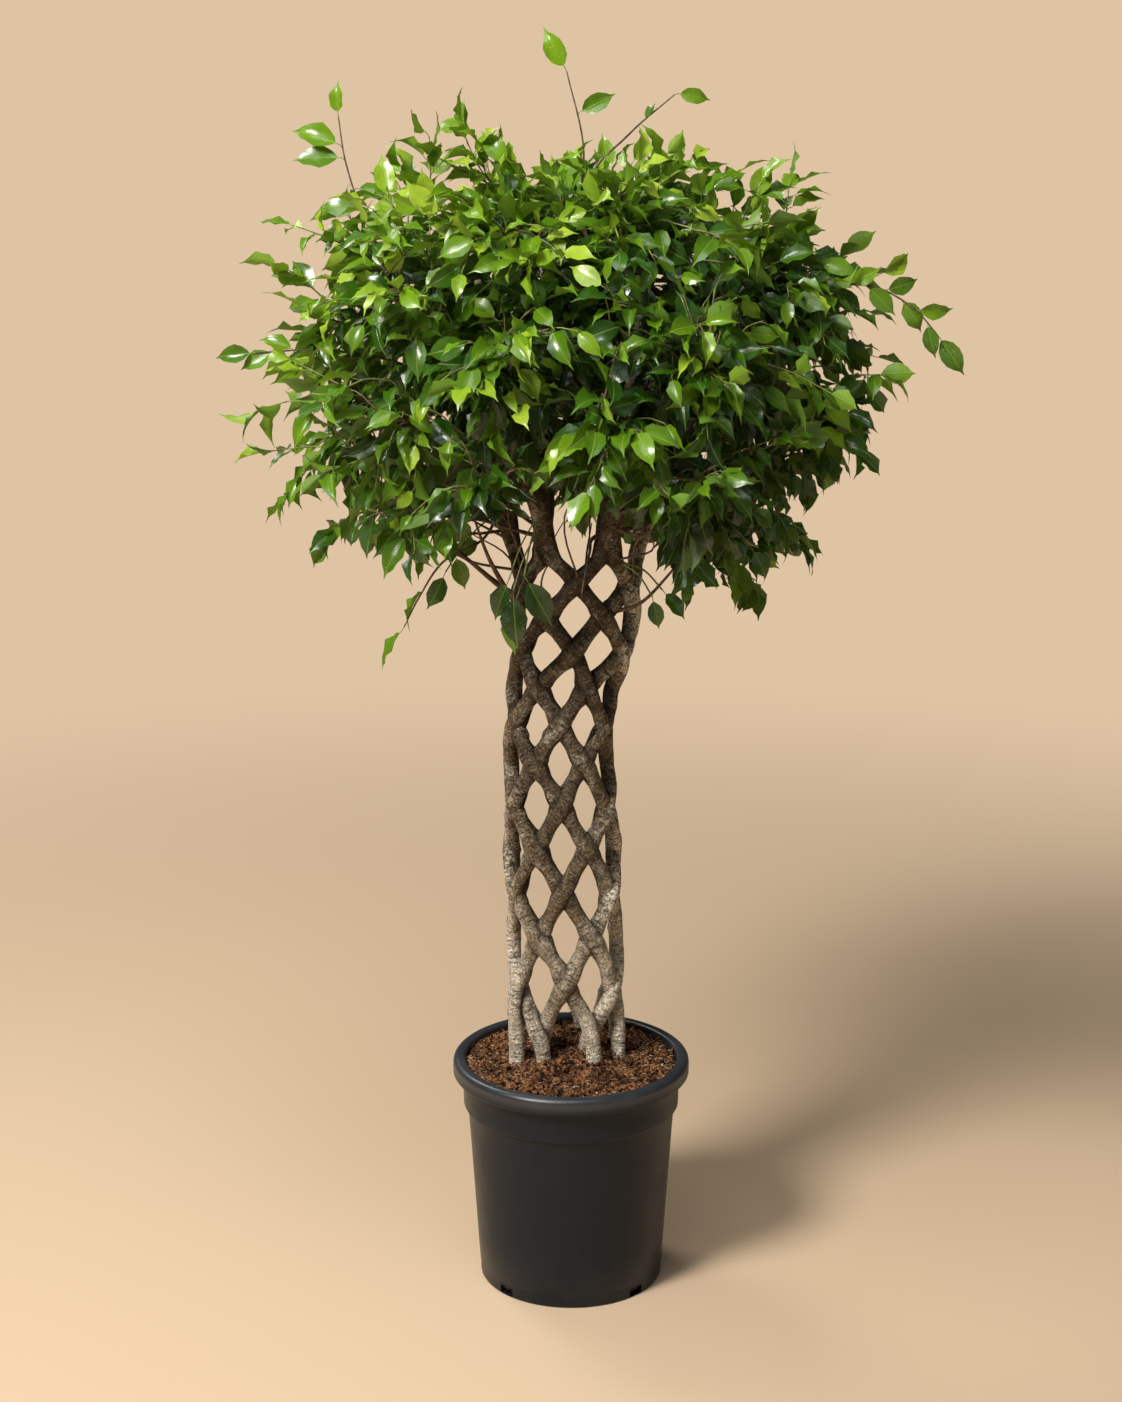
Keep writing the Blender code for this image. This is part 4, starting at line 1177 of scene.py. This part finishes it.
def leaf_shape(width, fold, droop, curl, wave):
    """Pointed oval leaf of length 1 along +Y: folded at the midrib, drooping, wavy."""
    bm = bmesh.new()
    map_layer = bm.loops.layers.uv.new("leaf")
    rows = len(LEAF_ROWS) - 1
    bmesh.ops.create_grid(bm, x_segments=4, y_segments=rows, size=0.5)
    along = {}
    for vert in bm.verts:
        row = round((vert.co.y + 0.5) * rows)
        share, half = LEAF_ROWS[row]
        across = round(vert.co.x * 4.0) / 2.0
        along[vert] = (0.5 + 0.5 * across * max(half, 0.04), share)
        side = abs(across)
        ripple = wave * side * side * math.sin(share * 15.0 + (1.3 if across > 0 else 0.0)) * half
        x = across * half * width * 0.5
        height = (fold * side * half * width * 0.5 - droop * share * share
                  - curl * max(0.0, share - 0.75) + ripple)
        vert.co = Vector((x, share - 0.25 * droop * share ** 3, height))
    for face in bm.faces:
        for loop in face.loops:
            loop[map_layer].uv = along[loop.vert]
    bmesh.ops.remove_doubles(bm, verts=bm.verts, dist=1e-5)
    return mesh_from(bm, "leaf")


def leaf_shapes():
    """Leaf forms from flat and broad to folded and hanging."""
    return [leaf_shape(*form) for form in (
        (0.52, 0.25, 0.14, 0.25, 0.070), (0.48, 0.50, 0.26, 0.45, 0.100),
        (0.55, 0.15, 0.20, 0.60, 0.085), (0.46, 0.75, 0.12, 0.30, 0.090),
        (0.49, 0.35, 0.42, 0.20, 0.080), (0.42, 0.95, 0.30, 0.50, 0.095),
        (0.50, 0.40, -0.12, 0.55, 0.110))]


def turned_leaf(base, aim, face):
    """Matrix that lays a leaf from its base along aim with its upper side towards face."""
    ahead = aim.normalized()
    across = ahead.cross(face).normalized()
    above = across.cross(ahead)
    turn = Matrix((across, ahead, above)).transposed().to_4x4()
    return Matrix.Translation(base) @ turn


def front_leaf(rng, heading, spread):
    """Aim and upper side of a leaf whose heading is given as it is seen from the front."""
    turn = math.radians(heading)
    aim = Vector((math.sin(turn), rng.uniform(-0.25, 0.05), math.cos(turn))).normalized()
    face = Vector((0.0, -1.0, 0.35)) + scatter(rng, spread)
    return aim, face - aim * face.dot(aim)


class Spray:
    """Everything one packed branch grows: wood, green stalks and leaves."""

    def __init__(self, node, path, leaf_length, shapes):
        self.node = node
        self.path = path
        self.leaf_length = leaf_length
        self.shapes = shapes
        root = SHOOT_ROOT if node in LONG_ROUTES else TWIG_ROOT
        self.wood = [(path, taper(path, root, 0.0008, 0.8))]
        self.stalks = []
        self.leaves = []
        self.anchors = []

    def hang_leaf(self, point, lead, aim, face, size, stalk, tint, shape):
        """A leaf on its stalk, laid along aim with its upper side towards face."""
        base = point + (lead * 0.5 + aim * 0.5).normalized() * stalk
        self.stalks.append(([point, point + lead * stalk * 0.55, base], LEAF_STALK))
        matrix = turned_leaf(base, aim, face) @ Matrix.Scale(size, 4)
        self.leaves.append((shape, matrix, tint))

    def add_leaf(self, rng, point, along, side, size, tint, sway):
        """A leaf at one side of a twig, outwards and down, each a little its own way."""
        if hides_trunk(point):
            return
        outward = (point - CROWN_CENTRE).normalized()
        sideways = along.cross(UP)
        if sideways.length < 0.2:
            sideways = along.cross(outward)
        sideways.normalize()
        droop = rng.uniform(0.0, 1.15) * sway * (1.0 - 0.55 * max(0.0, outward.z))
        aim = (along * rng.uniform(0.25, 0.6) + sideways * side * rng.uniform(0.35, 0.95)
               + outward * 0.45 - UP * droop + scatter(rng, 0.30)).normalized()
        lead = (along * 0.6 + sideways * side * 0.8 + aim * 0.6).normalized()
        face = outward * 0.75 + UP * 0.60 + scatter(rng, 0.66)
        face -= aim * face.dot(aim)
        self.hang_leaf(point, lead, aim, face.normalized(), size, size * rng.uniform(0.16, 0.28),
                       tint, rng.choice(self.shapes))

    def add_row(self, rng, path, count, young, row):
        """Leaves to both sides along a path."""
        places, sizes, sway, shrink, last = row
        side = rng.choice((-1.0, 1.0))
        for number in range(count):
            share = blend(*places, number / (count - 1))
            point, along = point_along(path, share)
            size = self.leaf_length * rng.uniform(*sizes) * blend(1.0, shrink, share ** 3)
            tint = leaf_tint(rng, point, share, young)
            if number == count - 1:
                side, size, tint = side * last[0], size * last[1], tint + last[2]
            self.add_leaf(rng, point, along, side, size, tint, sway)
            side = -side


def hides_trunk(point):
    """True in front of the top of the weave, which the crown leaves open."""
    seen = EYE_HEIGHT - (EYE_HEIGHT - point.z) * (EYE_DISTANCE - 0.03) / (EYE_DISTANCE + point.y)
    left, right, top = OPEN_TRUNK
    return left < point.x < right and point.y < 0.0 and seen < top


def limb_cloud(stems):
    points = []
    for _, route, split in stems:
        points += route[int(len(route) * (split - 0.12))::4]
    return point_tree(points)


def branch_path(node, limbs):
    """Main twig of a packed branch, from its seat on a limb out to its farthest point."""
    points = [vert.co.copy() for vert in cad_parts[node].data.vertices]
    seat = min(points, key=lambda point: limbs.find(point)[2])
    root = limbs.find(seat)[0]
    if node in LONG_ROUTES:
        return smooth_path([root, *map(Vector, LONG_ROUTES[node])], 6)
    tip = seat.lerp(max(points, key=lambda point: (point - seat).length), 0.86)
    reach = (tip - seat).length
    middle = seat.lerp(tip, 0.5) + UP * 0.07 * reach
    return smooth_path([root, seat.lerp(tip, 0.06), middle, tip], 6)


def crown_floor(place):
    """Height below which the crown has no twigs, over a place in it."""
    reach = math.hypot(place.x - CROWN_CENTRE.x, place.y - CROWN_CENTRE.y)
    lowest = blend(LEFT_FLOOR, RIGHT_FLOOR, ease((place.x + 0.06) / 0.16))
    gap = GAP_RISE * ease((0.16 - abs(place.x - 0.005)) / 0.07) * ease(-place.y / 0.15)
    return blend(MIDDLE_FLOOR, lowest, ease(reach / 0.22)) + gap


def spread_tips(rng, count):
    """Tips of leafy twigs, spread evenly through the crown's outer layers."""
    tips = []
    while len(tips) < count:
        best, best_gap = None, -1.0
        for _ in range(TRIES):
            way = scatter(rng, 1.0).normalized()
            depth = rng.uniform(0.78, 0.99) if rng.random() < 0.60 else rng.uniform(0.20, 0.78)
            tip = CROWN_CENTRE + way * crown_reach(way) * depth
            if tip.z < crown_floor(tip):
                continue
            gap = min(((tip - other).length for other in tips), default=1.0)
            if gap > best_gap:
                best, best_gap = tip, gap
        if best is not None:
            tips.append(best)
    return tips


def spread_sprigs(rng, count):
    """Tips of thin shoots that stand out of the crown: the front's own, and count more."""
    tips = [Vector(tip) for tip in SPRIG_TIPS]
    while len(tips) < len(SPRIG_TIPS) + count:
        way = (scatter(rng, 1.0) + UP * 0.35).normalized()
        tip = CROWN_CENTRE + way * crown_reach(way) * rng.uniform(1.0, 1.03 + 0.18 * abs(way.x))
        if way.z > -0.25 and all((tip - other).length > SPRIG_GAP for other in tips):
            tips.append(tip)
    return tips


def nearest_spray(point, sprays):
    """The spray whose main twig starts nearest to a point."""
    return min(sprays, key=lambda spray: (spray.path[0] - point).length)


def nearest_start(tip, sprays):
    """The spray and the point on its main twig that a leafy twig best grows from."""
    best = None
    for spray in sprays:
        for index in range(3, len(spray.path) - 1):
            start = spray.path[index]
            inward = (tip - CROWN_CENTRE).length - (start - CROWN_CENTRE).length
            cost = (tip - start).length + (0.12 if inward < 0.03 else 0.0)
            if best is None or cost < best[0]:
                best = (cost, spray, index)
    return best[1], best[2]


def nearest_anchor(tip, sprays):
    """The spray and the place on one of its leafy twigs that a thin shoot best grows from."""
    best = None
    for spray in sprays:
        for start, along in spray.anchors:
            away = tip - start
            inward = (tip - CROWN_CENTRE).length - (start - CROWN_CENTRE).length
            cost = away.length + (0.15 if inward < 0.045 else 0.0)
            cost += 0.05 * (1.0 - along.dot(away.normalized()))
            if best is None or cost < best[0]:
                best = (cost, spray, start, along)
    return best[1:]


def leaf_tint(rng, point, share, young):
    """Darker inside the crown (older leaves and painted shade), lighter to the upper left and
    darker below (painted light), fresh green outside and yellow-green at young tips.
    """
    way = point - CROWN_CENTRE
    depth = way.length / crown_reach(way.normalized())
    # Darker deep in the crown: partly older leaves, partly painted shade.
    tint = blend(-0.12, 0.34, ease((depth - 0.70) / 0.30)) + 0.14 * share
    # Painted light: leaves towards the upper left, where the key lamp is, are lighter, and those
    # below and to the right darker.
    tint += 0.26 * max(-0.6, way.normalized().dot(Vector((-0.4, -0.1, 0.90))))
    tint += young + rng.gauss(0.0, 0.15)
    return min(1.0, max(0.0, tint))


def dress_twig(rng, spray, start, tip, lead, young):
    """A side twig from the main one to its tip, with leaves to both sides."""
    away = tip - start
    length = away.length
    sag = UP * 0.16 * length
    path = smooth_path([start, start + (lead * 0.35 + away.normalized() * 0.65) * 0.35 * length
                        + sag * 0.35, start.lerp(tip, 0.72) + sag * 0.7, tip], 3)
    radii = taper(path, blend(0.0011, 0.0019, min(1.0, length / 0.16)), TWIG_END)
    split = len(path) // 2
    spray.wood.append((path[:split + 1], radii[:split + 1]))
    spray.stalks.append((path[split:], radii[split:]))
    spray.anchors += [(path[index], (path[index + 1] - path[index]).normalized())
                      for index in (split, split + 2)]
    count = max(4, min(9, round(length / 0.0165)))
    spray.add_row(rng, path, count, young, TWIG_LEAVES)


def dress_sprig(rng, spray, start, tip, lead):
    """A thin shoot with a few widely spaced leaves."""
    away = tip - start
    length = away.length
    path = smooth_path([start, start + (lead * 0.3 + away.normalized() * 0.7) * 0.4 * length
                        + UP * 0.06 * length, tip], 4)
    spray.stalks.append((path, taper(path, 0.0013, 0.0006)))
    row = HIGH_SPRIG_LEAVES if tip.z > 1.0 else LOW_SPRIG_LEAVES
    spray.add_row(rng, path, rng.randint(5, 7), 0.12, row)


def dress_main(rng, spray):
    """Leaves along the outer part of a main twig or long shoot."""
    if spray.node not in SHOOT_LEAVES:
        spray.add_row(rng, spray.path, BRANCH_LEAF_COUNT, 0.0, BRANCH_LEAVES)
        return
    length = sum(span_lengths(spray.path))
    for back, heading, scale, *rolled in SHOOT_LEAVES[spray.node]:
        point, along = point_along(spray.path, 1.0 - back / length)
        aim, face = front_leaf(rng, heading, 0.28)
        face.rotate(Quaternion(aim, math.radians(sum(rolled))))
        size = spray.leaf_length * scale
        spray.hang_leaf(point, (along + aim).normalized(), aim, face.normalized(), size,
                        0.16 * size, rng.uniform(0.42, 0.76), rng.choice(spray.shapes[:3]))


def add_bare_twigs(rng, sprays, limbs):
    """Thin leafless twigs that show through the underside of the crown."""
    for _ in range(BARE_TWIGS):
        way = Vector((rng.gauss(-0.15, 1.0), rng.gauss(-0.2, 1.0), -rng.uniform(0.15, 1.1)))
        way.normalize()
        tip = CROWN_CENTRE + way * crown_reach(way) * rng.uniform(0.45, 0.80)
        root = limbs.find(tip - UP * 0.09)[0]
        if tip.z > 0.945 and (tip - root).length < 0.24:
            bend = root.lerp(tip, 0.5) + scatter(rng, 0.022) + UP * 0.008
            path = smooth_path([root, bend, tip], 5)
            wood = nearest_spray(root, sprays).wood
            wood.append((path, taper(path, rng.uniform(0.0012, 0.0024), TWIG_END)))


def add_front_leaves(rng, sprays, limbs):
    """The few leaves that hang in front of the trunk's top, each on a thin stalk."""
    for place, heading, scale, tint in FRONT_LEAVES:
        point = Vector(place)
        spray = nearest_spray(point, sprays)
        aim, face = front_leaf(rng, heading, 0.3)
        root = limbs.find(point + UP * 0.05)[0]
        path = smooth_path([root, root.lerp(point, 0.6) + UP * 0.010, point], 4)
        spray.stalks.append((path, taper(path, 0.0012, 0.0012)))
        size = spray.leaf_length * scale
        spray.hang_leaf(point, aim, aim, face.normalized(), size, 0.16 * size, tint,
                        spray.shapes[0])


def spray_mesh(spray, name):
    """Joins a spray's wood, stalks and leaves; material 0 is wood, 1 stalk and 2 leaf."""
    bm = bmesh.new()
    tint_layer = bm.verts.layers.float.new("tint")
    bm.loops.layers.uv.new("leaf")
    for material, runs, resolution in ((0, spray.wood, 1), (1, spray.stalks, 0)):
        tubes = tube_mesh("tubes", runs, resolution)
        before = len(bm.faces)
        bm.from_mesh(tubes)
        bpy.data.meshes.remove(tubes)
        bm.faces.ensure_lookup_table()
        for face in bm.faces[before:]:
            face.material_index = material
    for shape, matrix, tint in spray.leaves:
        first_vert, first_face = len(bm.verts), len(bm.faces)
        bm.from_mesh(shape)
        bm.verts.ensure_lookup_table()
        bm.faces.ensure_lookup_table()
        fresh = bm.verts[first_vert:]
        bmesh.ops.transform(bm, matrix=matrix, verts=fresh)
        for vert in fresh:
            vert[tint_layer] = tint
        for face in bm.faces[first_face:]:
            face.material_index = 2
    return mesh_from(bm, name)


def build_crown(crown, trunk):
    """A leafy spray for every packed branch and long shoot."""
    rng = random.Random(23)
    limbs = limb_cloud(all_stems(trunk.weave))
    names = sorted(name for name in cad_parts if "branch" in name or "shoot" in name)
    shapes = leaf_shapes()
    sprays = [Spray(name, branch_path(name, limbs), crown.leaf_length, shapes) for name in names]
    for tip in spread_tips(rng, crown.twigs):
        spray, index = nearest_start(tip, sprays)
        lead = (spray.path[index + 1] - spray.path[index - 1]).normalized()
        young = rng.uniform(0.22, 0.50) if rng.random() < 0.20 else 0.0
        dress_twig(rng, spray, spray.path[index], tip, lead, young)
    for tip in spread_sprigs(rng, SPRIGS):
        spray, start, lead = nearest_anchor(tip, sprays)
        dress_sprig(rng, spray, start, tip, lead)
    add_bare_twigs(rng, sprays, limbs)
    for thick, *route in BOUGHS:
        path = smooth_path([Vector(point) for point in route], 6)
        nearest_spray(path[0], sprays).wood.append((path, taper(path, thick, 0.30 * thick)))
    add_front_leaves(rng, sprays, limbs)
    bark = (0.060, 0.034, 0.020), (0.20, 0.13, 0.08)
    skin = (0.12, 0.095, 0.035), (0.23, 0.29, 0.06)
    materials = [grain_material("fig_twig", (120.0, 0.35, 0.65), bark, (0.55, 0.85), 700.0,
                                0.0004, 0.6),
                 grain_material("fig_stalk", (90.0, 0.35, 0.65), skin, (0.40, 0.60), 900.0,
                                0.0002, 0.4),
                 leaf_material(crown)]
    for spray in sprays:
        dress_main(rng, spray)
        place_piece("foliage_" + spray.node, spray_mesh(spray, spray.node), materials,
                    [spray.node])


# ==== stage ===============================================================================
def add_lamp(name, place, target, size, power, colour=(1.0, 1.0, 1.0)):
    lamp = bpy.data.lights.new(name, "AREA")
    lamp.shape = "DISK"
    lamp.size = size
    lamp.energy = power
    lamp.color = colour
    holder = add_object(name, lamp)
    holder.location = place
    holder.rotation_euler = (Vector(target) - Vector(place)).to_track_quat("-Z", "Y").to_euler()


def build_stage(stage):
    """Pale floor to the horizon, soft lamps, even sky and the camera."""
    scene = bpy.context.scene
    bm = bmesh.new()
    bmesh.ops.create_circle(bm, cap_ends=True, segments=96, radius=60.0)
    mesh = mesh_from(bm, "floor")
    mesh.materials.append(floor_material(stage))
    floor = add_object("floor", mesh)

    world = bpy.data.worlds.new("studio")
    scene.world = world
    world.use_nodes = True
    sky = Shader(world.node_tree)
    sky.tree.nodes.clear()
    light = sky.node("ShaderNodeBackground",
                     {"Color": (1.0, 0.98, 0.95, 1.0), "Strength": stage.sky})
    seen = sky.node("ShaderNodeBackground", {"Color": rgba(stage.backdrop), "Strength": 1.0})
    direct = sky.node("ShaderNodeLightPath").outputs["Is Camera Ray"]
    both = sky.node("ShaderNodeMixShader",
                    {0: direct, 1: light.outputs[0], 2: seen.outputs[0]})
    sky.node("ShaderNodeOutputWorld", {"Surface": both.outputs[0]})

    add_lamp("key_lamp", (-2.1, -2.3, 3.5), (0.0, 0.0, 1.0), 1.2, stage.key, (1.0, 0.97, 0.92))
    add_lamp("fill_lamp", (2.6, -2.4, 1.7), (0.0, 0.0, 0.9), 2.4, stage.fill)
    add_lamp("top_lamp", (-0.3, -1.1, 3.5), (0.0, 0.0, 0.8), 1.6, stage.top)
    add_lamp("back_lamp", (-1.7, 1.9, 2.9), (0.0, 0.0, 1.15), 1.4, stage.back,
             (1.0, 0.96, 0.88))

    camera = bpy.data.cameras.new("camera")
    camera.lens = CAMERA_LENS
    camera.sensor_width = 36.0
    camera.sensor_fit = "AUTO"
    camera.clip_start = 0.1
    camera.clip_end = 200.0
    holder = add_object("camera", camera)
    holder.location = CAMERA_PLACE
    holder.rotation_euler = (math.radians(90.0 - LOOK_DOWN), 0.0, 0.0)
    scene.camera = holder
    scene.view_settings.view_transform = "Standard"


# ==== add-on ==============================================================================
class FIG_OT_pot(bpy.types.Operator):
    """Build the moulded pot"""
    bl_idname = "fig.build_pot"
    bl_label = "Pot"

    def execute(self, context):
        build_pot(context.scene.fig_pot)
        return {"FINISHED"}


class FIG_OT_soil(bpy.types.Operator):
    """Build the potting soil with its crumbs and fibres"""
    bl_idname = "fig.build_soil"
    bl_label = "Soil"

    def execute(self, context):
        build_soil(context.scene.fig_soil)
        return {"FINISHED"}


class FIG_OT_stems(bpy.types.Operator):
    """Build the twelve woven bark stems"""
    bl_idname = "fig.build_stems"
    bl_label = "Woven stems"

    def execute(self, context):
        build_stems(context.scene.fig_trunk)
        return {"FINISHED"}


class FIG_OT_crown(bpy.types.Operator):
    """Build the leafy sprays of the crown"""
    bl_idname = "fig.build_crown"
    bl_label = "Crown"

    def execute(self, context):
        build_crown(context.scene.fig_crown, context.scene.fig_trunk)
        return {"FINISHED"}


class FIG_OT_stage(bpy.types.Operator):
    """Build the floor, lamps, sky and camera"""
    bl_idname = "fig.build_stage"
    bl_label = "Stage"

    def execute(self, context):
        build_stage(context.scene.fig_stage)
        return {"FINISHED"}


OPERATORS = (FIG_OT_pot, FIG_OT_soil, FIG_OT_stems, FIG_OT_crown, FIG_OT_stage)
SETTINGS = {"fig_pot": PotSettings, "fig_soil": SoilSettings, "fig_trunk": TrunkSettings,
            "fig_crown": CrownSettings, "fig_stage": StageSettings}


class FIG_PT_sidebar(bpy.types.Panel):
    """Settings and build buttons for the fig"""
    bl_label = "Potted weeping fig"
    bl_idname = "FIG_PT_sidebar"
    bl_space_type = "VIEW_3D"
    bl_region_type = "UI"
    bl_category = "Fig"

    def draw(self, context):
        for (name, group), operator in zip(SETTINGS.items(), OPERATORS):
            box = self.layout.box()
            for key in group.__annotations__:
                box.prop(getattr(context.scene, name), key)
            box.operator(operator.bl_idname)


def register():
    for group in SETTINGS.values():
        bpy.utils.register_class(group)
    for name, group in SETTINGS.items():
        setattr(bpy.types.Scene, name, PointerProperty(type=group))
    for operator in OPERATORS:
        bpy.utils.register_class(operator)
    bpy.utils.register_class(FIG_PT_sidebar)


def unregister():
    bpy.utils.unregister_class(FIG_PT_sidebar)
    for operator in reversed(OPERATORS):
        bpy.utils.unregister_class(operator)
    for name, group in reversed(list(SETTINGS.items())):
        delattr(bpy.types.Scene, name)
        bpy.utils.unregister_class(group)


def main():
    register()
    bpy.ops.fig.build_stage()
    bpy.ops.fig.build_pot()
    bpy.ops.fig.build_soil()
    bpy.ops.fig.build_stems()
    bpy.ops.fig.build_crown()


if __name__ == "__main__":
    main()
